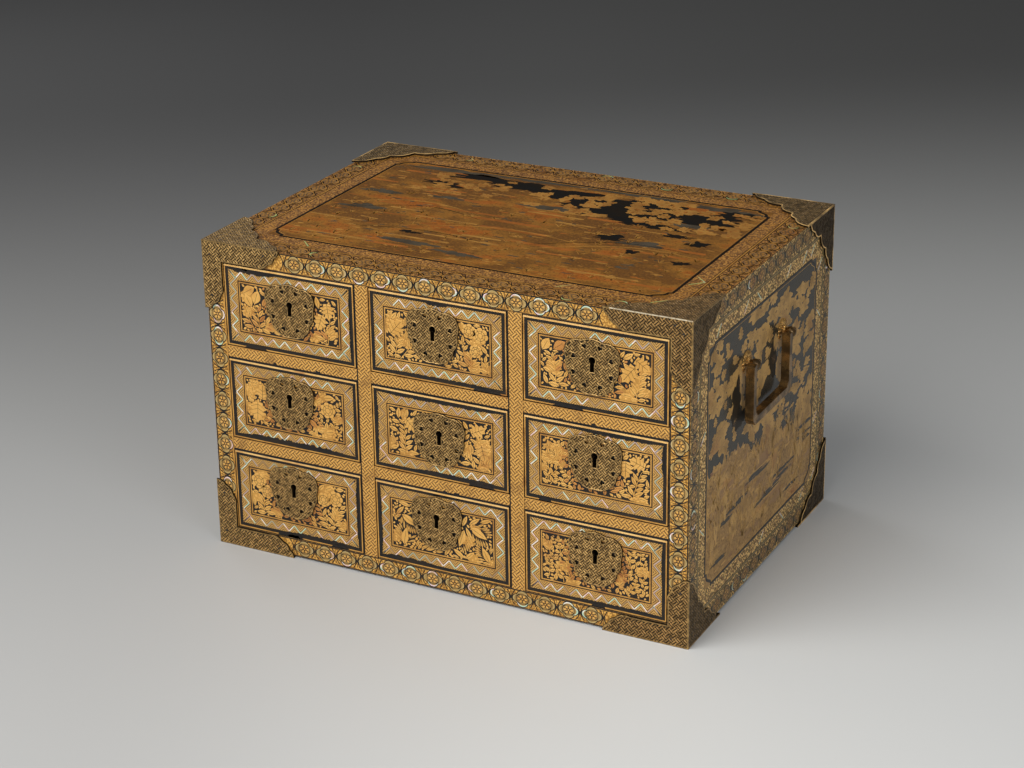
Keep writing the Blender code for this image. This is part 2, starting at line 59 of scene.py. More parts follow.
class Paint:
    """A material whose nodes are joined with short calls."""

    def __init__(self, name):
        self.material = bpy.data.materials.new(name)
        self.material.use_nodes = True
        self.tree = self.material.node_tree
        self.shader = self.tree.nodes["Principled BSDF"]
        self.place = self.new("TexCoord").outputs["Object"]

    def new(self, kind):
        return self.tree.nodes.new("ShaderNode" + kind)

    def put(self, socket, value):
        if isinstance(value, bpy.types.NodeSocket):
            self.tree.links.new(value, socket)
        elif isinstance(value, tuple) and len(value) == 3 and socket.type == "RGBA":
            socket.default_value = (*value, 1.0)
        else:
            socket.default_value = value

    def feed(self, node, *values):
        for socket, value in zip(node.inputs, values):
            self.put(socket, value)
        return node.outputs[0]

    def math(self, operation, *values):
        node = self.new("Math")
        node.operation = operation
        return self.feed(node, *values)

    def smooth(self, value, low, high, start=0.0, end=1.0):
        node = self.new("MapRange")
        node.interpolation_type = "SMOOTHSTEP"
        return self.feed(node, value, low, high, start, end)

    def mix(self, share, low, high):
        node = self.new("Mix")
        node.data_type = "RGBA"
        self.put(node.inputs[0], share)
        self.put(node.inputs[6], low)
        self.put(node.inputs[7], high)
        return node.outputs[2]

    def over(self, colour, other, pattern, low, high, most=1.0):
        """The colour, which goes over to another where a pattern runs from low to high."""
        return self.mix(self.smooth(pattern, low, high, 0.0, most), colour, other)

    def noise(self, scale, detail, stretch=None):
        node = self.new("TexNoise")
        place = self.place
        if stretch:
            move = self.new("Mapping")
            self.put(move.inputs["Vector"], self.place)
            move.inputs["Scale"].default_value = stretch
            place = move.outputs[0]
        self.put(node.inputs["Vector"], place)
        node.inputs["Scale"].default_value = scale
        node.inputs["Detail"].default_value = detail
        return node.outputs["Fac"]

    def cells(self, scale):
        node = self.new("TexVoronoi")
        self.put(node.inputs["Vector"], self.place)
        node.inputs["Scale"].default_value = scale
        return node.outputs["Distance"]

    def ramp(self, share, stops):
        node = self.new("ValToRGB")
        points = node.color_ramp.elements
        while len(points) < len(stops):
            points.new(0.5)
        for point, (position, colour) in zip(points, stops):
            point.position = position
            point.color = (*colour, 1.0)
        return self.feed(node, share)

    def axes(self):
        node = self.new("SeparateXYZ")
        self.feed(node, self.place)
        return node.outputs

    def bump(self, height, strength, distance):
        node = self.new("Bump")
        node.inputs["Strength"].default_value = strength
        node.inputs["Distance"].default_value = distance
        self.put(node.inputs["Height"], height)
        self.put(self.shader.inputs["Normal"], node.outputs[0])

    def finish(self, colour, roughness, metallic=0.0, specular=0.5):
        self.put(self.shader.inputs["Base Color"], colour)
        self.put(self.shader.inputs["Roughness"], roughness)
        self.put(self.shader.inputs["Metallic"], metallic)
        self.shader.inputs["Specular IOR Level"].default_value = specular
        return self.material


# Colours are linear values; noise scales are features to the metre
BARE_BROWN = (0.09, 0.052, 0.02)
OLD_GOLD = (0.20, 0.105, 0.026)
RED_GOLD = (0.30, 0.085, 0.018)
FINE = 900
ROUGH_SPREAD = 0.14


def lacquer(name, dark, brown, wear, specular, rough=0.26):
    """Black lacquer with brown clouds and rubbed specks."""
    paint = Paint(name)
    cloud = paint.noise(55, 5)
    colour = paint.over(dark, brown, cloud, 0.35, 0.75)
    colour = paint.over(colour, BARE_BROWN, paint.noise(240, 6), 0.60, 0.78, wear)
    paint.bump(paint.noise(FINE, 4), 0.08, 0.0004)
    roughness = paint.smooth(cloud, 0.2, 0.8, rough, rough + ROUGH_SPREAD)
    return paint.finish(colour, roughness, 0.0, specular)


def gold_relief(name, pale, deep, red, redness=0.5, specular=0.4):
    """Sprinkled gold over lacquer: grains, duller patches and red lacquer where it has rubbed thin."""
    paint = Paint(name)
    grain = paint.noise(2600, 2)
    colour = paint.over(pale, deep, paint.noise(70, 4), 0.35, 0.70)
    colour = paint.over(colour, red, paint.noise(30, 5), 0.58, 0.72, redness)
    colour = paint.over(colour, OLD_GOLD, grain, 0.52, 0.74, 0.25)
    paint.bump(grain, 0.2, 0.0002)
    return paint.finish(colour, paint.smooth(grain, 0.3, 0.7, 0.38, 0.5), 0.15, specular)


def shell(name, rough, *colours):
    """Mother-of-pearl slips, whose colours drift from piece to piece."""
    paint = Paint(name)
    drift = paint.math("MULTIPLY", paint.noise(95, 2), 2.1)
    streak = paint.noise(700, 3)
    mixed = paint.math("ADD", drift, paint.math("MULTIPLY", streak, 0.3))
    last = len(colours) - 1
    stops = [(0.08 + 0.84 * step / last, colour) for step, colour in enumerate(colours)]
    colour = paint.ramp(paint.math("SUBTRACT", mixed, 0.70), stops)
    paint.bump(streak, 0.12, 0.0003)
    return paint.finish(colour, paint.smooth(streak, 0.3, 0.7, rough, rough + 0.12))


DIAPER_CELL = 0.0047


def gold_diaper(name):
    """Rails and uprights: gold with dark lines like basketwork, two strands to a cell, rubbed in places."""
    paint = Paint(name)
    x, _, z = paint.axes()
    x = paint.math("ADD", x, paint.math("MULTIPLY", paint.noise(160, 2), 0.0008))
    step = DIAPER_CELL * math.sqrt(2)
    rising = paint.math("MULTIPLY", paint.math("ADD", x, z), 1 / step)
    falling = paint.math("MULTIPLY", paint.math("SUBTRACT", x, z), 1 / step)
    cell = paint.math("ADD", paint.math("FLOOR", rising), paint.math("FLOOR", falling))
    odd = paint.math("FLOORED_MODULO", cell, 2.0)
    turned = paint.math("MULTIPLY", odd, paint.math("SUBTRACT", rising, falling))
    across = paint.math("MULTIPLY", paint.math("ADD", falling, turned), 2.0)
    lines = paint.smooth(paint.math("PINGPONG", across, 0.5), 0.10, 0.30)
    ground = paint.mix(paint.noise(90, 3), (0.82, 0.455, 0.112), (0.66, 0.345, 0.076))
    dark = paint.mix(paint.noise(300, 4), (0.20, 0.095, 0.025), (0.08, 0.037, 0.011))
    rubbed = paint.smooth(paint.noise(60, 5), 0.52, 0.70, 0.0, 0.5)
    colour = paint.mix(rubbed, paint.mix(lines, dark, ground), (0.20, 0.095, 0.026))
    paint.bump(lines, 0.3, 0.0003)
    return paint.finish(colour, paint.smooth(rubbed, 0.0, 1.0, 0.40, 0.55), 0.15, 0.4)


CHEVRON_RISE = 0.0062
CHEVRON_LINE = 0.0023


def chevron_ground(name, half, margin, waves):
    """The drawer fronts' border: chevrons of fine lines that run with the shell zigzag."""
    paint = Paint(name)
    x, _, z = paint.axes()
    from_side, from_level = [
        paint.math("SUBTRACT", reach, paint.math("ABSOLUTE", axis)) for reach, axis in zip(half, (x, z))
    ]
    level = paint.math("LESS_THAN", from_level, from_side)
    tooth_x, tooth_z = [
        paint.math("PINGPONG", paint.math("MULTIPLY", paint.math("ADD", axis, reach - margin), 1 / wave), 1.0)
        for axis, reach, wave in zip((x, z), half, waves)
    ]
    turned = paint.math("MULTIPLY", level, paint.math("SUBTRACT", tooth_x, tooth_z))
    tooth = paint.math("ADD", tooth_z, turned)
    deep = paint.math("MINIMUM", from_side, from_level)
    phase = paint.math("SUBTRACT", deep, paint.math("MULTIPLY", tooth, CHEVRON_RISE))
    wave = paint.math("PINGPONG", paint.math("MULTIPLY", phase, 1 / CHEVRON_LINE), 0.5)
    lines = paint.smooth(wave, 0.12, 0.34)
    ground = paint.mix(paint.noise(260, 4), (0.25, 0.135, 0.038), (0.15, 0.080, 0.024))
    gold = paint.mix(paint.noise(60, 3), (0.76, 0.445, 0.124), (0.54, 0.30, 0.078))
    worn = paint.smooth(paint.noise(75, 5), 0.56, 0.72, 0.0, 0.6)
    colour = paint.mix(worn, paint.mix(lines, ground, gold), (0.17, 0.078, 0.024))
    paint.bump(lines, 0.3, 0.0003)
    return paint.finish(colour, paint.smooth(worn, 0.0, 0.6, 0.42, 0.55), 0.15, 0.4)


def stippled(name, pale, dark, worn_colour):
    """Ground of the medallion borders: gold with fine dark stippling."""
    paint = Paint(name)
    stipple = paint.smooth(paint.cells(560), 0.25, 0.65)
    worn = paint.smooth(paint.noise(60, 5), 0.52, 0.75, 0.0, 0.6)
    colour = paint.mix(worn, paint.mix(stipple, pale, dark), worn_colour)
    paint.bump(stipple, 0.25, 0.0003)
    return paint.finish(colour, paint.smooth(worn, 0.0, 0.6, 0.42, 0.55), 0.1, 0.2)


def gilt(name, bright, dark, rub, rough, scale=280):
    """Gilt copper worn to brown, with the gilding left in clouds."""
    paint = Paint(name)
    worn = paint.smooth(paint.noise(scale, 5), 0.34, 0.64, rub, 1.0)
    colour = paint.mix(worn, dark, bright)
    colour = paint.over(colour, dark, paint.noise(scale * 1.85, 4), 0.50, 0.64, 0.72)
    paint.bump(paint.noise(FINE, 4), 0.2, 0.0003)
    return paint.finish(colour, paint.smooth(worn, 0.0, 1.0, rough + ROUGH_SPREAD, rough), 0.75, 0.5)


def inner_lacquer(name):
    """Dark lacquer with a long grain and a few gold specks, for what is seen when a drawer is open."""
    paint = Paint(name)
    grain = paint.noise(60, 4, (1.0, 0.12, 1.0))
    colour = paint.over((0.045, 0.020, 0.011), (0.020, 0.010, 0.007), grain, 0.3, 0.7)
    colour = paint.over(colour, (0.30, 0.17, 0.05), paint.noise(1500, 2), 0.66, 0.74)
    paint.bump(grain, 0.1, 0.0005)
    return paint.finish(colour, paint.smooth(grain, 0.3, 0.7, 0.32, 0.45))


def iron(name):
    """Dark iron with some rust."""
    paint = Paint(name)
    rust = paint.smooth(paint.noise(420, 5), 0.5, 0.72)
    colour = paint.mix(rust, (0.055, 0.052, 0.05), (0.10, 0.045, 0.02))
    paint.bump(paint.noise(FINE, 4), 0.3, 0.0003)
    return paint.finish(colour, paint.smooth(rust, 0.0, 1.0, 0.45, 0.8), 0.85)


def mist(name, pale, deep, red, stretch, specular):
    """Gold mist over lacquer: long soft bands of paler, deeper and redder gold with dark grains."""
    paint = Paint(name)
    drift = paint.noise(34, 6, stretch)
    fine = paint.noise(480, 4)
    grain = paint.noise(1500, 2)
    colour = paint.over(deep, pale, drift, 0.42, 0.58)
    colour = paint.over(colour, red, drift, 0.52, 0.66, 0.85)
    colour = paint.over(colour, deep, paint.noise(150, 4, stretch), 0.50, 0.66, 0.6)
    colour = paint.over(colour, pale, fine, 0.53, 0.66, 0.55)
    colour = paint.over(colour, (0.07, 0.032, 0.009), fine, 0.47, 0.34, 0.6)
    colour = paint.over(colour, (0.06, 0.028, 0.009), grain, 0.50, 0.70, 0.35)
    paint.bump(grain, 0.15, 0.0002)
    return paint.finish(colour, paint.smooth(drift, 0.3, 0.7, 0.34, 0.46), 0.1, specular)


def box_mm(node):
    return [Vector(corner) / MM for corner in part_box(node)]


# Drawer fronts: gold edge, black band, chevron border with shell zigzag, gold lines and a panel of plants
EDGE_IN = 0.4
EDGE_WIDE = 1.0
BAND_IN = 4.4
BAND_OUT = 12.9
ZIGZAG_IN = 5.4
ZIGZAG_OUT = 11.6
ZIGZAG_WIDE = 0.95
ZIGZAG_ACROSS = 20
ZIGZAG_UP = 10
PANEL_IN = 15.3
FRONT_LOW, FRONT_HIGH = box_mm("middle_centre_drawer_front")
FRONT_HALF = ((FRONT_HIGH.x - FRONT_LOW.x) / 2, (FRONT_HIGH.z - FRONT_LOW.z) / 2)
WAVE_X = (2 * FRONT_HALF[0] - 2 * ZIGZAG_IN) / ZIGZAG_ACROSS
WAVE_Z = (2 * FRONT_HALF[1] - 2 * ZIGZAG_IN) / ZIGZAG_UP
CHEVRON_SHAPE = ((FRONT_HALF[0] * MM, FRONT_HALF[1] * MM), ZIGZAG_IN * MM, (WAVE_X * MM, WAVE_Z * MM))

# Finishes: what makes them, the slot of the pieces that have them, and each one's name and values
FINISHES = (
    (lacquer, "black_lacquer", (
        ("black_lacquer", (0.0085, 0.0080, 0.0075), (0.022, 0.014, 0.008), 0.30, 0.35),
        ("top_black", (0.007, 0.006, 0.005), (0.014, 0.009, 0.005), 0.15, 0.04, 0.42),
        ("side_black", (0.034, 0.030, 0.021), (0.054, 0.043, 0.029), 0.20, 0.22, 0.16),
        # Painted shadow: near-black lacquer for the dark patches behind the bails
        ("side_rub", (0.015, 0.012, 0.008), (0.032, 0.022, 0.012), 0.3, 0.12, 0.35),
        ("slate_lacquer", (0.085, 0.068, 0.046), (0.050, 0.038, 0.025), 0.25, 0.04, 0.45),
    )),
    (inner_lacquer, "black_lacquer", (("inner_lacquer",),)),
    (gold_relief, "gold_lacquer", (
        ("gold_relief", (0.80, 0.45, 0.115), (0.68, 0.355, 0.078), RED_GOLD),
        ("worn_gold", (0.62, 0.285, 0.068), (0.46, 0.185, 0.042), (0.26, 0.085, 0.022), 0.6),
        ("gold_line", (0.64, 0.34, 0.080), (0.42, 0.20, 0.042), (0.22, 0.06, 0.016), 0.6),
        # Painted highlight: pale gold along the top edges of the drawer fronts
        ("gold_edge", (0.95, 0.60, 0.22), (0.78, 0.44, 0.13), (0.34, 0.11, 0.03), 0.6),
        ("panel_gold", (0.62, 0.325, 0.072), (0.46, 0.225, 0.048), RED_GOLD),
        ("brown_gold", (0.44, 0.28, 0.090), (0.31, 0.185, 0.056), (0.18, 0.08, 0.022)),
        ("umber_gold", (0.12, 0.065, 0.022), (0.07, 0.036, 0.013), (0.05, 0.02, 0.01)),
        ("top_brown_gold", (0.34, 0.170, 0.044), (0.22, 0.105, 0.026), (0.22, 0.070, 0.018)),
        ("top_gold_relief", (0.46, 0.225, 0.044), (0.32, 0.145, 0.026), (0.32, 0.10, 0.016), 0.5, 0.1),
        ("top_red_gold", (0.40, 0.130, 0.020), (0.28, 0.090, 0.013), (0.22, 0.058, 0.010), 0.6, 0.06),
        ("side_brown_gold", (0.35, 0.200, 0.082), (0.23, 0.125, 0.050), (0.22, 0.085, 0.04)),
        ("side_gold_relief", (0.54, 0.320, 0.098), (0.33, 0.188, 0.053), (0.30, 0.12, 0.035)),
    )),
    (gold_relief, "gilt_copper", (
        # Painted highlight: bright mottled gold on the rear mounts' rims, for light caught on their rounded
        # edges
        ("mount_glint", (0.92, 0.58, 0.21), (0.15, 0.094, 0.036), (0.09, 0.055, 0.022), 0.8),
    )),
    (shell, "gold_lacquer", (
        ("shell_inlay", 0.16, (0.50, 0.36, 0.20), (0.78, 0.52, 0.48), (0.86, 0.80, 0.72),
         (0.58, 0.70, 0.52), (0.42, 0.62, 0.46), (0.84, 0.62, 0.62)),
        ("dull_shell", 0.4, (0.30, 0.180, 0.070), (0.36, 0.22, 0.10), (0.38, 0.25, 0.14),
         (0.28, 0.175, 0.075)),
        ("pale_shell", 0.28, (0.46, 0.32, 0.22), (0.50, 0.36, 0.32), (0.44, 0.40, 0.30),
         (0.38, 0.42, 0.30)),
        ("pearl_shell", 0.34, (0.40, 0.265, 0.090), (0.50, 0.35, 0.130), (0.42, 0.30, 0.110),
         (0.54, 0.40, 0.190)),
        ("olive_shell", 0.42, (0.17, 0.105, 0.032), (0.25, 0.17, 0.055), (0.20, 0.15, 0.055),
         (0.30, 0.21, 0.09)),
        ("fleck_shell", 0.3, (0.45, 0.20, 0.10), (0.50, 0.42, 0.12), (0.30, 0.46, 0.16),
         (0.60, 0.50, 0.42)),
    )),
    (gold_diaper, "gold_lacquer", (("gold_diaper",),)),
    (chevron_ground, "gold_lacquer", (("chevron_ground", *CHEVRON_SHAPE),)),
    (stippled, "gold_lacquer", (
        ("border_ground", (0.82, 0.46, 0.108), (0.38, 0.185, 0.038), (0.26, 0.12, 0.03)),
        ("top_border_ground", (0.55, 0.260, 0.053), (0.16, 0.066, 0.015), (0.12, 0.050, 0.014)),
        ("side_border_ground", (0.92, 0.595, 0.216), (0.15, 0.094, 0.035), (0.18, 0.110, 0.042)),
    )),
    (mist, "gold_lacquer", (
        ("top_mist", (0.33, 0.145, 0.0215), (0.165, 0.066, 0.0100), (0.37, 0.099, 0.0120),
         (0.60, 1.0, 1.0), 0.06),
        ("side_mist", (0.55, 0.330, 0.108), (0.32, 0.182, 0.058), (0.38, 0.160, 0.056),
         (1.0, 0.45, 1.0), 0.2),
    )),
    (gilt, "gilt_copper", (
        ("mount_sheet", (0.036, 0.022, 0.009), (0.014, 0.009, 0.005), 0.1, 0.46),
        ("lock_sheet", (0.080, 0.049, 0.019), (0.030, 0.019, 0.009), 0.1, 0.42),
        ("mount_weave", (0.80, 0.50, 0.180), (0.24, 0.145, 0.052), 0.1, 0.30),
        # Painted shade: darker copies of the mount weave for the right-hand mounts, the mounts' side faces
        # and the rear mounts, where less light falls
        ("right_mount_weave", (0.60, 0.355, 0.125), (0.16, 0.096, 0.034), 0.1, 0.32),
        ("side_mount_weave", (0.26, 0.162, 0.060), (0.085, 0.054, 0.021), 0.1, 0.38),
        ("rear_mount_weave", (0.46, 0.290, 0.108), (0.12, 0.076, 0.029), 0.1, 0.36),
        ("shaded_mount_weave", (0.125, 0.077, 0.030), (0.045, 0.029, 0.012), 0.1, 0.44),
        ("mount_rim", (0.52, 0.33, 0.120), (0.17, 0.105, 0.042), 0.3, 0.30),
        # Painted highlight: a pale silvery line along the top fold of the top front right mount
        ("mount_fold", (0.95, 0.82, 0.60), (0.50, 0.38, 0.22), 0.6, 0.20),
        ("cast_gilt", (0.34, 0.195, 0.066), (0.09, 0.054, 0.022), 0.0, 0.22, 75),
        ("rosette_gilt", (0.88, 0.50, 0.150), (0.16, 0.085, 0.028), 0.5, 0.08),
    )),
    (iron, "dark_iron", (("dark_iron",),)),
)
PAINTS = {}
SLOTS = {}
for maker, slot, rows in FINISHES:
    for row in rows:
        PAINTS[row[0]] = maker(*row)
        SLOTS[row[0]] = slot

# The finish of each layer of a medallion border
FRONT_PALETTE = {
    "ground": "border_ground", "dark": "black_lacquer", "brown": "brown_gold", "umber": "umber_gold",
    "gold": "gold_relief", "shell": "shell_inlay", "dull": "pearl_shell", "line": "gold_line",
}
TOP_PALETTE = FRONT_PALETTE | {
    "ground": "top_border_ground", "dark": "top_black", "brown": "top_brown_gold",
    "gold": "top_gold_relief", "shell": "fleck_shell", "dull": "top_gold_relief", "line": "top_brown_gold",
}
SIDE_PALETTE = FRONT_PALETTE | {
    "ground": "side_border_ground", "brown": "side_brown_gold", "gold": "side_gold_relief",
    "dull": "olive_shell", "line": "side_brown_gold",
}


def dress(node, paint):
    """Gives a carried-over solid its finish."""
    for place in NODES[node].material_slots:
        place.link = "OBJECT"
        place.material = PAINTS[paint]


def show(name, data):
    """A new object in the scene."""
    thing = bpy.data.objects.new(name, data)
    bpy.context.scene.collection.objects.link(thing)
    return thing


class Face:
    """A flat face to draw on: an origin in metres and two directions across it."""

    def __init__(self, origin, right, up):
        self.origin = Vector(origin)
        self.right = Vector(right)
        self.up = Vector(up)
        self.out = self.right.cross(self.up)

    def point(self, u, v, w):
        return self.origin + (self.right * u + self.up * v + self.out * w) * MM

    def raised(self, height):
        return Face(self.origin + self.out * height * MM, self.right, self.up)


def upright(right, x, y, z):
    """An upright face whose origin is given in millimetres."""
    return Face((x * MM, y * MM, z * MM), right, UPWARD)


def quarter_turn(run):
    return Vector((-run.y, run.x))


def signed_area(outline):
    pairs = zip(outline, outline[1:] + outline[:1])
    return sum(a[0] * b[1] - a[1] * b[0] for a, b in pairs) / 2


def grown(outline, margin):
    """The outline moved away from its middle by margin, or towards it where margin is negative."""
    count = len(outline)
    middle = Vector((sum(p[0] for p in outline) / count, sum(p[1] for p in outline) / count))
    points = []
    for point in outline:
        ray = Vector(point) - middle
        length = max(ray.length, 1e-6)
        points.append(tuple(middle + ray * max(0.15, (length + margin) / length)))
    return points


def offset_loop(loop, distance):
    """The loop moved to the left of its direction by distance."""
    points = [Vector(point) for point in loop]
    moved = []
    for index, point in enumerate(points):
        before = (point - points[index - 1]).normalized()
        after = (points[(index + 1) % len(points)] - point).normalized()
        normal = Vector((-before.y - after.y, before.x + after.x))
        normal /= max(0.6, 1 + before.dot(after))
        moved.append(tuple(point + normal * distance))
    return moved


class Relief:
    """Low relief of one finish: closed slips that stand on flat faces and are drawn in millimetres."""

    SUNK = 0.06
    SHOULDER = 0.45

    def __init__(self, name, paint, face, body="carcass", slot=None, local=False):
        self.name = name
        self.body = body
        self.slot = slot or SLOTS[paint]
        self.material = PAINTS[paint]
        self.face = face
        self.shift = face.origin.copy() if local else Vector((0, 0, 0))
        self.points = []
        self.faces = []

    def rings(self, levels):
        """A ring of points for each outline and height."""
        made = []
        for outline, height in levels:
            base = len(self.points)
            self.points += [self.face.point(u, v, height) - self.shift for u, v in outline]
            made.append(range(base, base + len(outline)))
        return made

    def walls(self, lower, upper):
        for low, high in zip(lower, upper):
            for one in range(len(low)):
                two = (one + 1) % len(low)
                self.faces.append((low[one], low[two], high[two], high[one]))

    def rise(self, levels):
        """A body that rises from its first outline to its last."""
        rings = self.rings(levels)
        self.walls(rings, rings[1:])
        self.faces += [tuple(rings[-1]), tuple(reversed(rings[0]))]

    def tube(self, levels):
        """A ring-shaped body whose last outline joins its first."""
        rings = self.rings(levels)
        self.walls(rings, rings[1:] + rings[:1])

    def slip(self, outline, height, crown=0.0):
        """A slip with a closed outline; crown is how far its top edge is drawn in."""
        if signed_area(outline) < 0:
            outline = outline[::-1]
        levels = [(outline, -self.SUNK)]
        if crown:
            levels.append((outline, height * self.SHOULDER))
            outline = grown(outline, -crown)
        self.rise(levels + [(outline, height)])

    def box(self, low, high, height):
        self.slip(box_outline(low, high), height)

    def bead(self, loop, start, width, height):
        """A rounded band along a loop, between start and start + width to the left of it."""
        edge = height * 0.55
        profile = ((0, -self.SUNK), (0, edge), (0.28, height), (0.72, height), (1, edge), (1, -self.SUNK))
        self.tube([(offset_loop(loop, start + width * share), level) for share, level in profile])

    def band(self, inner, outer, height):
        """A flat band between two outlines with as many points each, anticlockwise."""
        self.tube([(outer, -self.SUNK), (outer, height), (inner, height), (inner, -self.SUNK)])

    def border(self, half, inset, width, height):
        """A flat band along the edges of a rectangle."""
        self.band(inset_box(half, inset + width), inset_box(half, inset), height)

    def build(self):
        if not self.faces:
            return
        mesh = bpy.data.meshes.new(self.name)
        mesh.from_pydata(self.points, [], self.faces)
        mesh.materials.append(self.material)
        piece = show(self.name, mesh)
        piece.location = self.shift
        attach(piece, self.body)


def build_all(reliefs):
    for relief in reliefs:
        relief.build()


class Region:
    """The part of a solid that lies in a face: its triangles and its edges as loops, material on the left."""

    FLAT = 0.03

    def __init__(self, node, face):
        mesh = NODES[node].data
        mesh.calc_loop_triangles()
        flat = []
        for vertex in mesh.vertices:
            ray = (vertex.co - face.origin) / MM
            flat.append((round(ray.dot(face.right), 3), round(ray.dot(face.up), 3), ray.dot(face.out)))
        kept = []
        for triangle in mesh.loop_triangles:
            corners = [flat[index] for index in triangle.vertices]
            if all(abs(corner[2]) < self.FLAT for corner in corners):
                corners = [corner[:2] for corner in corners]
                if signed_area(corners) > 1e-6:
                    kept.append(corners)
        self.triangles = np.array(kept)
        edges = {}
        for corners in kept:
            for one, two in zip(corners, corners[1:] + corners[:1]):
                edges[(one, two)] = True
        ahead = {one: two for one, two in edges if (two, one) not in edges}
        self.loops = []
        while ahead:
            start, point = ahead.popitem()
            loop = [start]
            while point != start:
                loop.append(point)
                point = ahead.pop(point)
            self.loops.append(loop)
        self.loops.sort(key=signed_area, reverse=True)

    def inside(self, points):
        points = np.array(points)[:, None, :]
        a, b, c = self.triangles[:, 0], self.triangles[:, 1], self.triangles[:, 2]

        def left_of(one, two):
            run = two - one
            ray = points - one
            return run[:, 0] * ray[:, :, 1] - run[:, 1] * ray[:, :, 0] >= -1e-6

        return (left_of(a, b) & left_of(b, c) & left_of(c, a)).any(1)


def box_outline(low, high):
    return [(low[0], low[1]), (high[0], low[1]), (high[0], high[1]), (low[0], high[1])]


def inset_box(half, inset):
    return box_outline((-half[0] + inset, -half[1] + inset), (half[0] - inset, half[1] - inset))


def oval_outline(middle, radii, count):
    turns = [FULL_TURN * step / count for step in range(count)]
    return [(middle[0] + radii[0] * math.cos(t), middle[1] + radii[1] * math.sin(t)) for t in turns]


def ring_outline(middle, radius, count):
    return oval_outline(middle, (radius, radius), count)


def swapped(outline):
    return [(b, a) for a, b in outline]


def toward(start, turn, length):
    return Vector((start[0] + length * math.cos(turn), start[1] + length * math.sin(turn)))


def bar(start, end, width):
    """A straight slip with square ends."""
    start = Vector(start)
    end = Vector(end)
    side = quarter_turn((end - start).normalized()) * width / 2
    return [tuple(start - side), tuple(end - side), tuple(end + side), tuple(start + side)]


def ribbon(line, widths):
    """A slip along a curve, with a width at each of its points."""
    line = [Vector(point) for point in line]
    left = []
    right = []
    for index, point in enumerate(line):
        ahead = line[min(index + 1, len(line) - 1)] - line[max(index - 1, 0)]
        side = quarter_turn(ahead).normalized() * widths[index] / 2
        left.append(tuple(point + side))
        right.append(tuple(point - side))
    return right + left[::-1]


def blade(base, tip, width, profile):
    """A slip alike on both sides; profile gives shares of its length and of its half width."""
    base = Vector(base)
    run = Vector(tip) - base
    side = quarter_turn(run).normalized() * width / 2
    right = [tuple(base + run * along - side * out) for along, out in profile]
    left = [tuple(base + run * along + side * out) for along, out in profile if out]
    return right + left[::-1]


LEAF_STEPS = 5
# A broad leaf with three pairs of pointed lobes
LOBES = (
    (0.0, 0.06), (0.02, 0.50), (0.16, 0.44), (0.24, 0.98), (0.40, 0.52), (0.52, 0.86), (0.64, 0.40),
    (0.80, 0.48), (0.86, 0.18), (1.0, 0.0),
)


def leaf(base, tip, width, belly=0.45):
    """A leaf pointed at both ends and widest at belly of its length."""
    power = math.log(0.5) / math.log(belly)
    shares = [step / LEAF_STEPS for step in range(1, LEAF_STEPS)]
    profile = [(share, math.sin(math.pi * share**power)) for share in shares]
    return blade(base, tip, width, [(0.0, 0.0), *profile, (1.0, 0.0)])


def blotch(rng, middle, half_long, half_tall, ragged, count=40):
    """A patch with a ragged edge."""
    waves = []
    for wave in range(2, 12):
        start = rng.uniform(0, FULL_TURN)
        waves.append((wave, start, ragged * rng.uniform(0.3, 1.0) / wave**0.55))
    points = []
    for step in range(count):
        turn = FULL_TURN * step / count
        swell = 1 + sum(size * math.cos(wave * turn + start) for wave, start, size in waves)
        swell = max(0.2, swell)
        along = half_long * swell * math.cos(turn)
        points.append((middle[0] + along, middle[1] + half_tall * swell * math.sin(turn)))
    return points


def held(outline, low, high):
    """The outline held inside a rectangle."""
    return [(min(max(u, low[0]), high[0]), min(max(v, low[1]), high[1])) for u, v in outline]


def spot(rng, left, right, low, high):
    """A random place in a rectangle."""
    return rng.uniform(left, right), rng.uniform(low, high)


class Field:
    """Keeps count of which parts of a flat area are taken, so that leaves lie side by side."""

    CELL = 0.4

    def __init__(self, low, high):
        self.low = low
        self.wide = int((high[0] - low[0]) / self.CELL)
        self.tall = int((high[1] - low[1]) / self.CELL)
        self.taken = np.zeros((self.tall, self.wide), bool)

    def cells(self, outline):
        """The cells inside an outline, and how many of its cells lie outside the area."""
        places = np.array(outline)
        low = np.floor((places.min(0) - self.low) / self.CELL).astype(int)
        high = np.ceil((places.max(0) - self.low) / self.CELL).astype(int) + 1
        u, v = np.meshgrid(np.arange(low[0], high[0]), np.arange(low[1], high[1]))
        x = self.low[0] + (u + 0.5) * self.CELL
        y = self.low[1] + (v + 0.5) * self.CELL
        inside = np.zeros(u.shape, bool)
        for (x0, y0), (x1, y1) in zip(places, np.roll(places, -1, axis=0)):
            if y0 != y1:
                inside ^= ((y0 > y) != (y1 > y)) & (x < (x1 - x0) * (y - y0) / (y1 - y0) + x0)
        u = u[inside]
        v = v[inside]
        kept = (u >= 0) & (u < self.wide) & (v >= 0) & (v < self.tall)
        return u[kept], v[kept], int((~kept).sum())

    def claim(self, outline, gap, most=0.03):
        """Takes the outline and a gap round it, if nearly all of that is free and none lies outside."""
        u, v, lost = self.cells(outline)
        if lost or len(u) == 0 or self.taken[v, u].sum() > most * len(u):
            return False
        self.block(grown(outline, gap))
        return True

    def block(self, outline):
        u, v, _ = self.cells(outline)
        self.taken[v, u] = True

    def is_free(self, outline):
        u, v, _ = self.cells(outline)
        return not self.taken[v, u].any()


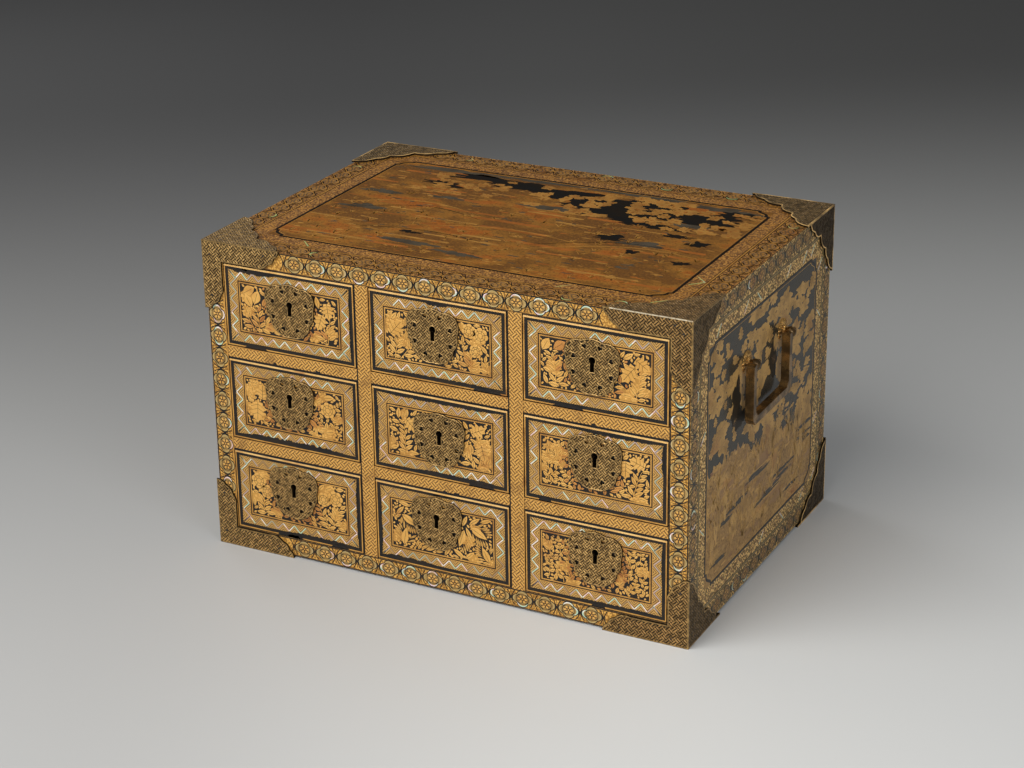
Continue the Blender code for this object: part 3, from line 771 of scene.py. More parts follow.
class Garden:
    """Plants in raised gold that fill an area and leave narrow dark gaps between them."""

    GAP = 0.28
    VEIN_RISE = 0.04
    STEM_STEP = 1.5

    def __init__(self, rng, field, gold, vein, tall=0.26, worn=None, lock=None):
        self.rng = rng
        self.field = field
        self.gold = gold
        self.vein = vein
        self.tall = tall
        self.worn = worn
        self.lock = lock

    def layer(self, place):
        """The gold there: near the lock, where keys and fingers rub, some of it has worn red."""
        if self.worn:
            middle, half = self.lock
            far = math.hypot((place[0] - middle[0]) / half[0], (place[1] - middle[1]) / half[1])
            if self.rng.random() < 0.9 - 3.0 * abs(far - 1.05):
                return self.worn
        return self.gold

    def rib(self, start, end, width):
        self.vein.slip(bar(start, end, width), self.tall + self.VEIN_RISE)

    def leaf(self, base, turn, length, width, belly=0.45, most=0.03):
        tip = toward(base, turn, length)
        outline = leaf(base, tip, width, belly)
        if not self.field.claim(outline, self.GAP, most):
            return False
        self.layer(tip).slip(outline, self.tall, min(0.45, width * 0.18))
        if length > 4:
            base = Vector(base)
            self.rib(base.lerp(tip, 0.06), base.lerp(tip, 0.78), 0.24)
        return True

    def frond(self, root, turn, length, size, lean=48, slim=0.40):
        """A stem with pairs of leaflets and one at its tip."""
        rng = self.rng
        bend = rng.uniform(-0.05, 0.05)
        line = [Vector(root)]
        for step in range(int(length / self.STEM_STEP)):
            turn += bend
            line.append(toward(line[-1], turn, self.STEM_STEP))
        leaves = 0
        gap = max(1, round(size * 0.52 / self.STEM_STEP))
        for index in range(gap, len(line), gap):
            ahead = line[index] - line[index - 1]
            turn = math.atan2(ahead.y, ahead.x)
            taper = 1 - 0.35 * index / len(line)
            for side in (-1, 1):
                out = turn + side * math.radians(lean + rng.uniform(-6, 6))
                reach = size * taper * rng.uniform(0.92, 1.08)
                leaves += self.leaf(toward(line[index], out, 0.3), out, reach, reach * slim)
        leaves += self.leaf(line[-1], turn, size * 0.75, size * 0.75 * slim)
        if leaves > 1:
            widths = [0.6 - 0.3 * index / len(line) for index in range(len(line))]
            self.gold.slip(ribbon(line, widths), self.tall * 0.8)

    def blossom(self, middle, radius, petals):
        """A scalloped flower with dark lines between its petals and round its eye."""
        if not self.field.claim(ring_outline(middle, radius * 0.94, 16), self.GAP, 0.10):
            return
        spin = self.rng.uniform(0, math.pi)
        steps = 5
        outline = []
        for index in range(petals * steps):
            swell = math.sin(math.pi * (index % steps) / steps)
            turn = spin + FULL_TURN * index / petals / steps
            outline.append(tuple(toward(middle, turn, radius * (0.84 + 0.16 * swell))))
        self.gold.slip(outline, self.tall, 0.3)
        for index in range(petals):
            turn = spin + FULL_TURN * index / petals
            self.rib(*[toward(middle, turn, radius * share) for share in (0.36, 0.86)], 0.3)
        for share in (0.30, 0.60):
            rings = [ring_outline(middle, radius * share + wide, 14) for wide in (0, 0.28)]
            self.vein.band(*rings, self.tall + self.VEIN_RISE)

    def plume(self, root, turn, size):
        """A broad blade with a fringe of long narrow ones along its sides."""
        if not self.leaf(root, turn, size, size * 0.40, 0.42, 0.05):
            return
        for step in range(7):
            share = 0.16 + 0.12 * step
            spine = toward(root, turn, size * share)
            for side in (-1, 1):
                out = turn + side * math.radians(62 - 30 * share)
                foot = toward(spine, turn + side * math.pi / 2, size * 0.21 * math.sin(math.pi * share))
                self.leaf(toward(foot, out, 0.5), out, size * (0.62 - 0.25 * share), 1.7, 0.6, 0.05)

    def broad(self, base, turn, size):
        """A lobed leaf with its ribs."""
        base = Vector(base)
        along = Vector((math.cos(turn), math.sin(turn)))
        across = quarter_turn(along)
        outline = blade(base, base + along * size, size * 1.05, LOBES)
        if not self.field.claim(outline, self.GAP, 0.06):
            return
        self.gold.slip(outline, self.tall, 0.3)
        self.rib(base, base + along * size * 0.84, 0.3)
        for share in (0.08, 0.28, 0.50):
            start = base + along * size * share
            for side in (-1, 1):
                end = start + (along * 0.42 + across * side * 0.9) * size * (0.42 - 0.30 * share)
                self.rib(start, end, 0.22)

    def fill(self, low, high, tries, size, slim):
        """Single leaves wherever there is still room."""
        rng = self.rng
        for attempt in range(tries):
            place = spot(rng, low[0], high[0], low[1], high[1])
            length = rng.uniform(*size)
            sway = 90 + 40 * math.sin(place[0] / 7) + rng.choice((-44, 44)) + rng.uniform(-12, 12)
            self.leaf(place, math.radians(sway), length, length * slim, 0.48, 0.0)


# What grows at the head and foot of each half of a drawer front, and the size of the leaves between
PLANTING = {
    "upper_left": (("round", "frond"), ("broad", "frond"), (6.0, 9.0), 0.46),
    "upper_centre": (("broad", "frond"), ("peony", "frond"), (5.0, 8.0), 0.44),
    "upper_right": (("round", "frond"), ("broad", "frond"), (5.0, 8.5), 0.44),
    "middle_left": (("broad", "clover"), ("peony", "clover"), (5.5, 9.0), 0.50),
    "middle_centre": (("broad", "frond"), ("broad", "frond"), (5.0, 8.0), 0.44),
    "middle_right": (("clover", "clover"), ("broad", "frond"), (3.6, 5.4), 0.54),
    "lower_left": (("peony", "frond"), ("peony", "frond"), (5.0, 8.0), 0.46),
    "lower_centre": (("plume", "plume"), ("plume", "plume"), (6.0, 11.0), 0.32),
    "lower_right": (("clover", "clover"), ("clover", "clover"), (3.4, 5.0), 0.58),
}
# Drawers whose gold has worn red round the lock
WORN = ("upper_left", "upper_right", "middle_left", "middle_right", "lower_left", "lower_right")
# How many patches of plain gold lie between the plants of each drawer front
GROUNDS = {
    "upper_left": 6, "upper_centre": 11, "upper_right": 8, "middle_left": 15, "middle_centre": 10,
    "middle_right": 6, "lower_left": 9, "lower_centre": 5, "lower_right": 5,
}
# Where the band has frayed: side, from and to as shares of that side, and how deep
FRAYED = {
    "upper_left": (("top", 0.02, 0.40, 3.0), ("right", 0.0, 1.0, 1.2)),
    "upper_centre": (("bottom", 0.05, 0.95, 1.2), ("top", 0.40, 0.60, 2.4)),
    "upper_right": (("top", 0.50, 1.0, 1.0),),
    "middle_left": (("bottom", 0.0, 0.95, 3.2), ("left", 0.0, 0.8, 1.0)),
    "middle_centre": (("top", 0.0, 1.0, 2.0), ("left", 0.0, 1.0, 1.3), ("bottom", 0.25, 1.0, 2.2)),
    "middle_right": (("top", 0.35, 1.0, 1.9), ("right", 0.6, 1.0, 1.8)),
    "lower_left": (("bottom", 0.35, 1.0, 2.4), ("right", 0.0, 1.0, 1.6)),
    "lower_centre": (("left", 0.0, 1.0, 1.6), ("bottom", 0.0, 0.45, 2.6)),
    "lower_right": (("bottom", 0.30, 1.0, 1.3), ("right", 0.4, 1.0, 1.0)),
}
FRAY_STEP = 1.3
# Heights of a drawer front's layers above the board, from the lowest up
GROUND_RISE = 0.10
CHEVRON_HEIGHT = 0.12
LINE_RISE = 0.20
ZIGZAG_RISE = 0.22
FRAY_RISE = 0.24
EDGE_LINE_RISE = 0.25
CHIP_RISE = 0.27
EDGE_RISE = 0.30


def front_side(side):
    """Whether a side of a drawer front runs across, half its length, how far out it is, and its sign."""
    across = side in ("top", "bottom")
    long, far = FRONT_HALF if across else FRONT_HALF[::-1]
    return across, long, far, 1 if side in ("top", "right") else -1


def zigzag_points(side):
    """Turning points of the zigzag along one side of a drawer front, from corner to corner."""
    across, long, far, sign = front_side(side)
    count, wave = (ZIGZAG_ACROSS, WAVE_X) if across else (ZIGZAG_UP, WAVE_Z)
    points = []
    for step in range(count + 1):
        deep = ZIGZAG_OUT if step % 2 else ZIGZAG_IN
        points.append((-long + ZIGZAG_IN + step * wave, sign * (far - deep)))
    return points if across else swapped(points)


def lay_zigzag(layers, rng):
    """The zigzag of shell, of which each slip is bright, pale or dull."""
    target = layers[0]
    for side in ("top", "bottom", "left", "right"):
        points = [Vector(point) for point in zigzag_points(side)]
        for start, end in zip(points, points[1:]):
            if rng.random() < 0.6:
                target = rng.choices(layers, (0.50, 0.28, 0.22))[0]
            target.slip(bar(start.lerp(end, 0.03), start.lerp(end, 0.97), ZIGZAG_WIDE), ZIGZAG_RISE)


def chip_edges(relief, rng):
    """Black places along the upper and lower edges where the lacquer has chipped."""
    for number in range(rng.choice((3, 4, 5))):
        edge = rng.choice((-1, 1, 1))
        u = rng.uniform(-0.85, 0.85) * (FRONT_HALF[0] - 8)
        wide = rng.uniform(3, 14)
        foot = edge * (FRONT_HALF[1] - 0.3)
        points = [(u - wide, foot), (u + wide, foot)]
        for step in range(9, 0, -1):
            tall = 4.6 * math.sin(math.pi * step / 10) ** 0.6 * rng.uniform(0.5, 1.0)
            points.append((u - wide + 2 * wide * step / 10, foot - edge * tall))
        relief.slip(points, CHIP_RISE)


def fray(relief, key, rng):
    """Black strips with a jagged edge where the outer part of the band has come away."""
    for number, (side, start, end, deep) in enumerate(FRAYED[key]):
        across, long, far, sign = front_side(side)
        long = long - BAND_IN
        count = int((end - start) * 2 * long / FRAY_STEP)
        inner = []
        for step in range(count + 1):
            taper = min(1.0, 5 * step / count, 5 * (count - step) / count)
            along = long * (2 * (start + (end - start) * step / count) - 1)
            inner.append((along, sign * (far - BAND_IN + 0.3 - deep * taper * rng.uniform(0.35, 1.0))))
        level = sign * (far - BAND_IN + 0.5)
        outline = inner + [(inner[-1][0], level), (inner[0][0], level)]
        relief.slip(outline if across else swapped(outline), FRAY_RISE + 0.004 * number)


def lay_ground(relief, key, field, low, high):
    """Patches of plain gold under the plants, clear of the lock."""
    rng = random.Random("ground " + key)
    laid = 0
    while laid < GROUNDS[key]:
        place = spot(rng, low[0], high[0], low[1], high[1])
        outline = held(blotch(rng, place, rng.uniform(3.5, 7), rng.uniform(3, 6), 0.25), low, high)
        if field.is_free(outline):
            laid += 1
            relief.slip(outline, GROUND_RISE + 0.002 * laid)


def grow(garden, kind, low, high, up):
    """Grows one kind of plant in the upper or lower part of a rectangle."""
    rng = garden.rng
    (left, foot), (right, head) = low, high
    middle = (left + right) / 2
    level = head - 8 if up else foot
    if kind == "round":
        for step in range(14):
            place = spot(rng, left + 1, right - 2, level - 12, level + 4)
            length = rng.uniform(12, 15.5)
            garden.leaf(place, math.radians(rng.uniform(30, 150)), length, length * 0.66, 0.5, 0.05)
    elif kind == "peony":
        garden.blossom((middle + rng.uniform(-3, 3), level), 10.6, 9)
        for step in range(10):
            place = spot(rng, left + 5, right - 5, level - 16, level + 3)
            garden.blossom(place, rng.uniform(5.6, 7.6), 7)
    elif kind == "broad":
        for step in range(16):
            place = spot(rng, left + 2, right - 2, level - 13, level + 4)
            garden.broad(place, math.radians(rng.uniform(0, 360)), rng.uniform(14.5, 19))
    elif kind == "frond":
        for step, lean in enumerate((8, -34, 42, -66, 72)):
            root = (middle + rng.uniform(-4, 4), foot + 0.3)
            garden.frond(root, math.radians(90 - lean), 27 - 2.5 * step, 9.6)
    elif kind == "plume":
        turns = (200, 340) if up else (20, 160)
        for step in range(3):
            u = rng.uniform(left + 2, right - 2)
            root = (u, rng.uniform(level - 10, level + 6) if up else foot + 2)
            garden.plume(root, math.radians(rng.uniform(*turns)), rng.uniform(15, 19))
    else:
        for step in range(22):
            root = spot(rng, left, right, foot, head - 8)
            garden.frond(root, math.radians(rng.uniform(40, 140)), rng.uniform(8, 15), 5.8, 52, 0.58)


def plant_panel(key, lock_place, lock_half, ground, gold, vein, worn):
    """Fills the panel of a drawer front."""
    high = (FRONT_HALF[0] - PANEL_IN, FRONT_HALF[1] - PANEL_IN)
    low = (-high[0], -high[1])
    field = Field(low, high)
    field.block(oval_outline(lock_place, (lock_half[0] - 2.5, lock_half[1] - 2.5), 24))
    lay_ground(ground, key, field, low, high)
    rng = random.Random("planting " + key)
    lock = (lock_place, lock_half)
    garden = Garden(rng, field, gold, vein, worn=worn if key in WORN else None, lock=lock)
    left, right, size, slim = PLANTING[key]
    halves = (
        (left, low, (lock_place[0] - lock_half[0] + 2, high[1])),
        (right, (lock_place[0] + lock_half[0] - 2, low[1]), high),
    )
    for (head, foot), corner, far in halves:
        grow(garden, head, corner, far, True)
        grow(garden, foot, corner, far, False)
    garden.fill(low, high, 500, (size[1], size[1] * 1.25), slim)
    garden.fill(low, high, 900, size, slim)
    garden.fill(low, high, 1000, (2.8, 4.0), 0.6)
    garden.fill(low, high, 800, (1.8, 2.6), 0.7)


def dress_drawer(key):
    dress(key + "_drawer_front", "black_lacquer")
    dress(key + "_tray", "inner_lacquer")
    dress(key + "_lock", "lock_sheet")
    dress(key + "_lock_bolt", "dark_iron")
    rng = random.Random("drawer " + key)
    low, high = box_mm(key + "_drawer_front")
    middle = (low + high) / 2
    face = upright(RIGHTWARD, middle.x, low.y, middle.z)
    lock_low, lock_high = box_mm(key + "_lock")
    plate = upright(RIGHTWARD, middle.x, lock_low.y, middle.z)

    def relief(kind, paint, on=face, local=False):
        return Relief(key + "_" + kind, paint, on, key + "_drawer", local=local)

    line = relief("gold_lines", "gold_line")
    line.border(FRONT_HALF, EDGE_IN, EDGE_WIDE, EDGE_LINE_RISE)
    line.border(FRONT_HALF, BAND_OUT - 0.5, 0.6, LINE_RISE)
    line.border(FRONT_HALF, PANEL_IN - 1.2, 1.0, LINE_RISE)
    # Painted highlight: a bright gold strip along the top edge only
    edge = relief("gold_edge", "gold_edge")
    corner = (FRONT_HALF[0] - EDGE_IN, FRONT_HALF[1] - EDGE_IN)
    edge.box((-corner[0], corner[1] - 1.5), corner, EDGE_RISE)
    chevron = relief("chevron_band", "chevron_ground", local=True)
    chevron.border(FRONT_HALF, BAND_IN, BAND_OUT - BAND_IN, CHEVRON_HEIGHT)
    kinds = (("shell", "shell_inlay"), ("pale", "pale_shell"), ("dull", "dull_shell"))
    zigzag = [relief(kind + "_zigzag", paint) for kind, paint in kinds]
    lay_zigzag(zigzag, rng)
    chip = relief("chips", "black_lacquer")
    chip_edges(chip, rng)
    fray(chip, key, rng)

    ground = relief("gold_ground", "panel_gold")
    gold = relief("gold_plants", "gold_relief")
    worn = relief("worn_plants", "worn_gold")
    vein = relief("leaf_veins", "black_lacquer")
    lock_place = ((lock_low.x + lock_high.x) / 2 - middle.x, (lock_low.z + lock_high.z) / 2 - middle.z)
    lock_half = ((lock_high.x - lock_low.x) / 2, (lock_high.z - lock_low.z) / 2)
    plant_panel(key, lock_place, lock_half, ground, gold, vein, worn)

    region = Region(key + "_lock", plate)
    weave = relief("lock_weave", "mount_weave", plate)
    engrave(weave, region, 0.28, LOCK_CELL)
    rim = relief("lock_rims", "mount_rim", plate)
    for loop in region.loops:
        rim.bead(loop, 0.1, 0.85, 0.3)
    build_all((line, edge, chevron, *zigzag, chip, ground, gold, worn, vein, weave, rim))


# Engraving on the mounts and lock plates: pairs of slips that turn at every cell, like wickerwork
WEAVE_CELL = 4.2
LOCK_CELL = 3.8
WEAVE_SHARE = 0.29
WEAVE_CLEAR = 1.3
WEAVE_PROBES = 9
WEAVE_LEAST = 4
# The engraved copies of the mounts lie this far below the faces of the solids that they replace
RECESS = 0.2


def engrave(relief, region, height, cell=WEAVE_CELL):
    corners = np.array(region.loops[0])
    reach = int(np.abs(corners).max() * 1.5 / cell) + 2
    low = corners.min(0) - cell
    high = corners.max(0) + cell
    rising = Vector((1, 1)).normalized()
    falling = Vector((1, -1)).normalized()
    for i in range(-reach, reach):
        for j in range(-reach, reach):
            middle = (rising * (i + 0.5) + falling * (j + 0.5)) * cell
            if not (low[0] < middle.x < high[0] and low[1] < middle.y < high[1]):
                continue
            along, across = (rising, falling) if (i + j) % 2 else (falling, rising)
            for side in (-0.25, 0.25):
                lay_slip(relief, region, middle + across * side * cell, along * cell, across * cell, height)


def lay_slip(relief, region, middle, along, across, height):
    """One slip of the engraving, cut where the sheet ends."""
    count = WEAVE_PROBES
    shares = [-0.48 + 0.96 * step / (count - 1) for step in range(count)]
    wide = WEAVE_SHARE * across.length
    room = across.normalized() * (wide + WEAVE_CLEAR) / 2
    probes = [tuple(middle + along * share + room * side) for share in shares for side in (-1, 0, 1)]
    free = region.inside(probes).reshape(count, 3).all(1)
    best = (0, 0)
    start = None
    for index in range(count + 1):
        if index < count and free[index]:
            start = index if start is None else start
        elif start is not None:
            best = max(best, (index - start, start))
            start = None
    length, start = best
    if length >= WEAVE_LEAST:
        ends = [middle + along * shares[index] for index in (start, start + length - 1)]
        relief.slip(bar(*ends, wide), height, 0.4)


def nail_sheet(nail, region):
    """Nails where the sheet reaches furthest from its corner."""
    loop = np.array(region.loops[0])
    low = loop.min(0)
    high = loop.max(0)
    for shares in ((0.10, 0.80), (0.80, 0.10), (0.90, 0.80), (0.80, 0.90), (0.10, 0.20), (0.20, 0.10)):
        place = tuple(low + (high - low) * np.array(shares))
        if region.inside(ring_outline(place, 3.2, 8)).all():
            nail.slip(ring_outline(place, 1.25, 12), RECESS * 0.97, 0.35)


def dress_mount(node):
    """A corner mount with its engraving sunk a little below the faces of the solid that it replaces."""
    level, depth, hand = node.split("_")[:3]
    rear = depth == "rear"
    low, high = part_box(node)
    sx = 1 if hand == "right" else -1
    sy = 1 if rear else -1
    upright_face = Face((0, high[1] if rear else low[1], 0), (-sy, 0, 0), UPWARD)
    side_face = Face((high[0] if sx > 0 else low[0], 0, 0), (0, sx, 0), UPWARD)
    faces = [upright_face, side_face]
    if level == "top":
        faces.append(Face((0, 0, high[2]), RIGHTWARD, REARWARD))
    mesh = NODES[node].data.copy()
    mesh.name = node + "_sheet"
    for face in faces:
        for vertex in mesh.vertices:
            if abs((vertex.co - face.origin).dot(face.out)) < 0.02 * MM:
                vertex.co -= face.out * RECESS * MM
    mesh.materials.clear()
    mesh.materials.append(PAINTS["mount_sheet"])
    sheet = show(mesh.name, mesh)
    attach(sheet, "carcass")
    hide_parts(node)

    # Painted shade: darker weave on the right-hand, side and rear faces of the mounts
    front_paint = "mount_weave" if hand == "left" else "right_mount_weave"
    weave = Relief(node + "_weave", "rear_mount_weave" if rear else front_paint, upright_face)
    side_paint = "shaded_mount_weave" if rear else "side_mount_weave"
    side_weave = Relief(node + "_side_weave", side_paint, side_face)
    # The rear mounts' rims carry painted highlights
    rim = Relief(node + "_rim", "mount_glint" if rear else "mount_rim", upright_face)
    nail = Relief(node + "_nails", "dark_iron", upright_face)
    reliefs = (weave, side_weave, rim, nail)
    for face in faces:
        region = Region(node, face)
        sunk = face.raised(-RECESS)
        for relief in reliefs:
            relief.face = sunk
        engrave(side_weave if face is side_face else weave, region, RECESS * 0.9)
        for loop in region.loops:
            rim.bead(loop, 0.25, 1.1, RECESS * 0.98)
        nail_sheet(nail, region)
    build_all(reliefs)
    # Painted highlight along the top fold of this one mount
    if node == "top_front_right_mount":
        fold_highlight = Relief(node + "_fold", "mount_fold", upright_face.raised(-RECESS))
        head = high[2] / MM
        fold_highlight.box((low[0] / MM + 6, head - 1.0), (high[0] / MM - 0.3, head - 0.05), RECESS)
        fold_highlight.build()


# Medallion borders: pitches on the large faces, along the boards and up the sides, and where those start
MEDALLION_PITCH = 20.4
TOP_PITCH = 20.2
BASE_PITCH = 20.8
UPRIGHT_PITCH = 19.7
UPRIGHT_FOOT = 44.8
# Medallions in a row along a board and up a side
BOARD_COUNT = 14
UPRIGHT_COUNT = 9
# A medallion's size, its stretch along the border and the width of its outline
BOARD_SHAPE = (0.90, 1.24, 0.7)
UPRIGHT_SHAPE = (0.96, 1.1, 0.7)
# In a medallion of size 1: how far out the lobes' centres lie, then radii and widths
LOBE_REACH = 3.6
LOBE_RADIUS = 4.95
LOBE_FILL = 4.3
CRESCENT_RADIUS = 4.2
CRESCENT_WIDE = 1.3
DISC_RADIUS = 5.2
RING_RADII = (3.8, 4.6)
PETAL_ENDS = (1.1, 4.1)
PETAL_WIDE = 2.4
EYE_RADIUS = 0.75
KNOT_REACH = 1.3
# How far round the lobes and the crescents go on either side
LOBE_SWEEP = math.radians(108)
CRESCENT_SWEEP = math.radians(88)
# Height of the lowest layer of a border or a picture
BASE_RISE = 0.05


def crescent(middle, turn, radius, wide):
    """A crescent that bulges along turn."""
    outer = []
    inner = []
    for step in range(9):
        share = step / 8
        at = turn - CRESCENT_SWEEP + 2 * CRESCENT_SWEEP * share
        thick = wide * math.sin(math.pi * (0.08 + 0.84 * share))
        outer.append(tuple(toward(middle, at, radius)))
        inner.append(tuple(toward(middle, at, radius - thick)))
    return outer + inner[::-1]


def quatrefoil(middle, reach, radius, count=9):
    """Four round lobes about a middle."""
    points = []
    for lobe in range(4):
        turn = lobe * math.pi / 2
        centre = toward(middle, turn, reach)
        for step in range(count):
            at = turn - LOBE_SWEEP + 2 * LOBE_SWEEP * step / (count - 1)
            points.append(tuple(toward(centre, at, radius)))
    return points


def medallion(layers, middle, along, shape, rng, shells):
    """One medallion: dark outline, gold lobes with crescents of shell, and a flower in a dark ring."""
    size, stretch, line = shape
    reach = LOBE_REACH * size

    def drawn_out(outline):
        points = []
        for point in outline:
            share = (Vector(point) - Vector(middle)).dot(along)
            points.append(tuple(Vector(point) + along * share * (stretch - 1)))
        return points

    def put(kind, outline, height, crown=0.0):
        layers[kind].slip(drawn_out(outline), height, crown)

    def rim(kind, loops, height):
        layers[kind].band(*[drawn_out(loop) for loop in loops], height)

    put("brown", quatrefoil(middle, reach, LOBE_FILL * size), 0.11)
    radii = (LOBE_RADIUS - line, LOBE_RADIUS)
    rim("dark", [quatrefoil(middle, reach, radius * size) for radius in radii], 0.15)
    for lobe in range(4):
        turn = lobe * math.pi / 2
        kind = "shell" if rng.random() < shells else "dull"
        centre = toward(middle, turn, reach)
        put(kind, crescent(centre, turn, CRESCENT_RADIUS * size, CRESCENT_WIDE * size), 0.17)
    put("umber", ring_outline(middle, DISC_RADIUS * size, 20), 0.14)
    rim("brown", [ring_outline(middle, radius * size, 20) for radius in RING_RADII], 0.18)
    for petal in range(6):
        ends = [toward(middle, petal * math.pi / 3, radius * size) for radius in PETAL_ENDS]
        put("gold", leaf(*ends, PETAL_WIDE * size, 0.62), 0.2, 0.2)
    put("gold", ring_outline(middle, EYE_RADIUS * size, 8), 0.22, 0.2)


def link(layers, middle, along, half_band, size):
    """What joins two medallions: a dark knot, its four arms and strokes in the fields between them."""
    cross = quarter_turn(along)
    knot = KNOT_REACH * size
    layers["dark"].slip([tuple(middle + ray * knot) for ray in (along, cross, -along, -cross)], 0.16)
    for side in (-1, 1):
        for end in (-1, 1):
            points = []
            for share in (0.0, 0.3, 0.65, 1.0):
                near = end * (0.5 + 3.6 * share**1.7) * size
                points.append(middle + along * near + cross * half_band * 0.94 * share * side)
            layers["dark"].slip(ribbon(points, [1.2, 0.9, 0.7, 0.5]), 0.15)
        for lean in (-0.42, 0.0, 0.42):
            ends = [middle + (along * lean + cross * side) * half_band * share for share in (0.30, 0.92)]
            layers["umber"].slip(bar(*ends, 0.45 * size), 0.12)


def border_layers(name, face, palette):
    return {kind: Relief(name + "_" + kind, paint, face) for kind, paint in palette.items()}


def medallion_row(layers, start, end, count, half_band, shape, rng, shells):
    """Medallions and links along a straight border."""
    start = Vector(start)
    run = Vector(end) - start
    along = run.normalized()
    pitch = run.length / count
    for index in range(count):
        medallion(layers, tuple(start + along * pitch * (index + 0.5)), along, shape, rng, shells)
    for index in range(count + 1):
        link(layers, start + along * pitch * index, along, half_band, shape[0])


TOP_LOW, TOP_HIGH = box_mm("top_panel")
BASE_LOW, BASE_HIGH = box_mm("bottom_panel")
SIDE_LOW, SIDE_HIGH = box_mm("right_side_panel")


def dress_edges(name, face, palette, rng, shells):
    """Borders of medallions along the edges of the four boards that show at the front, or along the back."""
    layers = border_layers(name, face, palette)
    inner = SIDE_LOW.x
    outer = SIDE_HIGH.x
    side = (inner + outer) / 2

    def strip(kind, hand, near, far, height):
        left, right = sorted((hand * near, hand * far))
        layers[kind].box((left, BASE_HIGH.z), (right, TOP_LOW.z), height)

    for low, high, pitch in ((TOP_LOW.z, TOP_HIGH.z, TOP_PITCH), (BASE_LOW.z, BASE_HIGH.z, BASE_PITCH)):
        middle = (low + high) / 2
        layers["ground"].box((-outer, low), (outer, high), BASE_RISE)
        run = BOARD_COUNT // 2 * pitch
        ends = ((-run, middle), (run, middle))
        medallion_row(layers, *ends, BOARD_COUNT, (high - low) / 2 - 0.9, BOARD_SHAPE, rng, shells)
        layers["umber"].box((-inner, low + 0.1), (inner, low + 0.8), 0.14)
        layers["dark"].box((-inner, high - 1.1), (inner, high - 0.1), 0.16)
    for hand in (-1, 1):
        strip("ground", hand, inner, outer, BASE_RISE)
        head = UPRIGHT_FOOT + UPRIGHT_COUNT * UPRIGHT_PITCH
        ends = ((hand * side, UPRIGHT_FOOT), (hand * side, head))
        medallion_row(layers, *ends, UPRIGHT_COUNT, (outer - inner) / 2 - 1.0, UPRIGHT_SHAPE, rng, shells)
        # The right upright's inner edge gets a dark line instead of a gold one: painted shadow beside the
        # right-hand drawers
        for kind, edge in (("line" if hand < 0 else "dark", inner + 0.1), ("dark", outer - 1.2)):
            strip(kind, hand, edge, edge + 1.0, 0.14)
    build_all(layers.values())


def dress_rails():
    """Gold fret on the rails and uprights, gold lines along their edges, chips in the gold, and black lines
    of painted shadow along the edges next to the drawers.
    """
    rng = random.Random("rails")
    face = upright(RIGHTWARD, 0, box_mm("left_divider")[0].y, 0)
    fret = Relief("rail_fret", "gold_diaper", face)
    line = Relief("rail_lines", "gold_line", face)
    chip = Relief("rail_chips_and_shadow_lines", "black_lacquer", face)
    foot = BASE_HIGH.z
    head = TOP_LOW.z
    for name in ("left_divider", "right_divider"):
        low, high = box_mm(name)
        fret.box((low.x + 0.1, foot), (high.x - 0.1, head), 0.06)
        line.box((high.x - 0.85, foot), (high.x - 0.15, head), 0.18)
        # Painted shadow: a black line along each divider's left edge, beside the drawer to its left
        chip.box((low.x + 0.05, foot), (low.x + 0.95, head), 0.16)
    for name in ("upper_shelf", "lower_shelf"):
        low, high = box_mm(name)
        for column in COLUMNS:
            bay_low, bay_high = box_mm("middle_" + column + "_drawer_front")
            left = bay_low.x - 0.4
            right = bay_high.x + 0.4
            fret.box((left, low.z + 0.1), (right, high.z - 0.1), 0.06)
            line.box((left, high.z - 0.85), (right, high.z - 0.15), 0.18)
            # Painted shadow: a black line along the shelf's lower edge, over the drawer below
            chip.box((left, low.z + 0.05), (right, low.z + 1.0), 0.17)
            for number in range(rng.choice((1, 1, 2, 2))):
                u = rng.uniform(left + 28, right - 28)
                wide = rng.uniform(3, 7)
                tall = rng.uniform(1.4, 3.0)
                edge = low.z + 0.12
                points = [(u - wide / 2, edge), (u + wide / 2, edge)]
                for share in (0.85, 0.6, 0.35, 0.1):
                    points.append((u - wide / 2 + wide * share, edge + tall * rng.uniform(0.6, 1.0)))
                chip.slip(points, 0.21)
    build_all((fret, line, chip))


# Top and sides: medallion border, shell line, band of broken zigzag, dark line with cut-in corners, picture
CORNER_NOTCH = 13
# The shell line between its two dark ones: layer, where each starts and ends, and height
SHELL_LINE = (("dark", 0, 0.6, 0.12), ("dull", 0.6, 2.2, 0.16), ("dark", 2.2, 2.8, 0.12))
# The medallions' share of a face's chance of bright shell, and the border's width at a medallion of size 1
MEDALLION_SHELLS = 0.4
MEDALLION_BAND = 18.6


def cusped_outline(half, inset):
    """A rectangle whose corners are cut in with a small step on either side."""
    u = half[0] - inset
    v = half[1] - inset
    notch = CORNER_NOTCH
    step = notch * 0.24
    reach = notch - step
    quarter = [(u, v - notch), (u - step, v - notch + step * 0.2)]
    for share in (0.2, 0.4, 0.6, 0.8):
        turn = math.pi / 2 * share
        inward = u - step - reach * 0.72 * (1 - math.cos(turn))
        quarter.append((inward, v - notch + step * 0.2 + reach * 0.72 * math.sin(turn)))
    quarter += [(u - notch + step * 0.2, v - step), (u - notch, v)]
    points = list(quarter)
    points += [(-a, b) for a, b in reversed(quarter)]
    points += [(-a, -b) for a, b in quarter]
    points += [(a, -b) for a, b in reversed(quarter)]
    return points


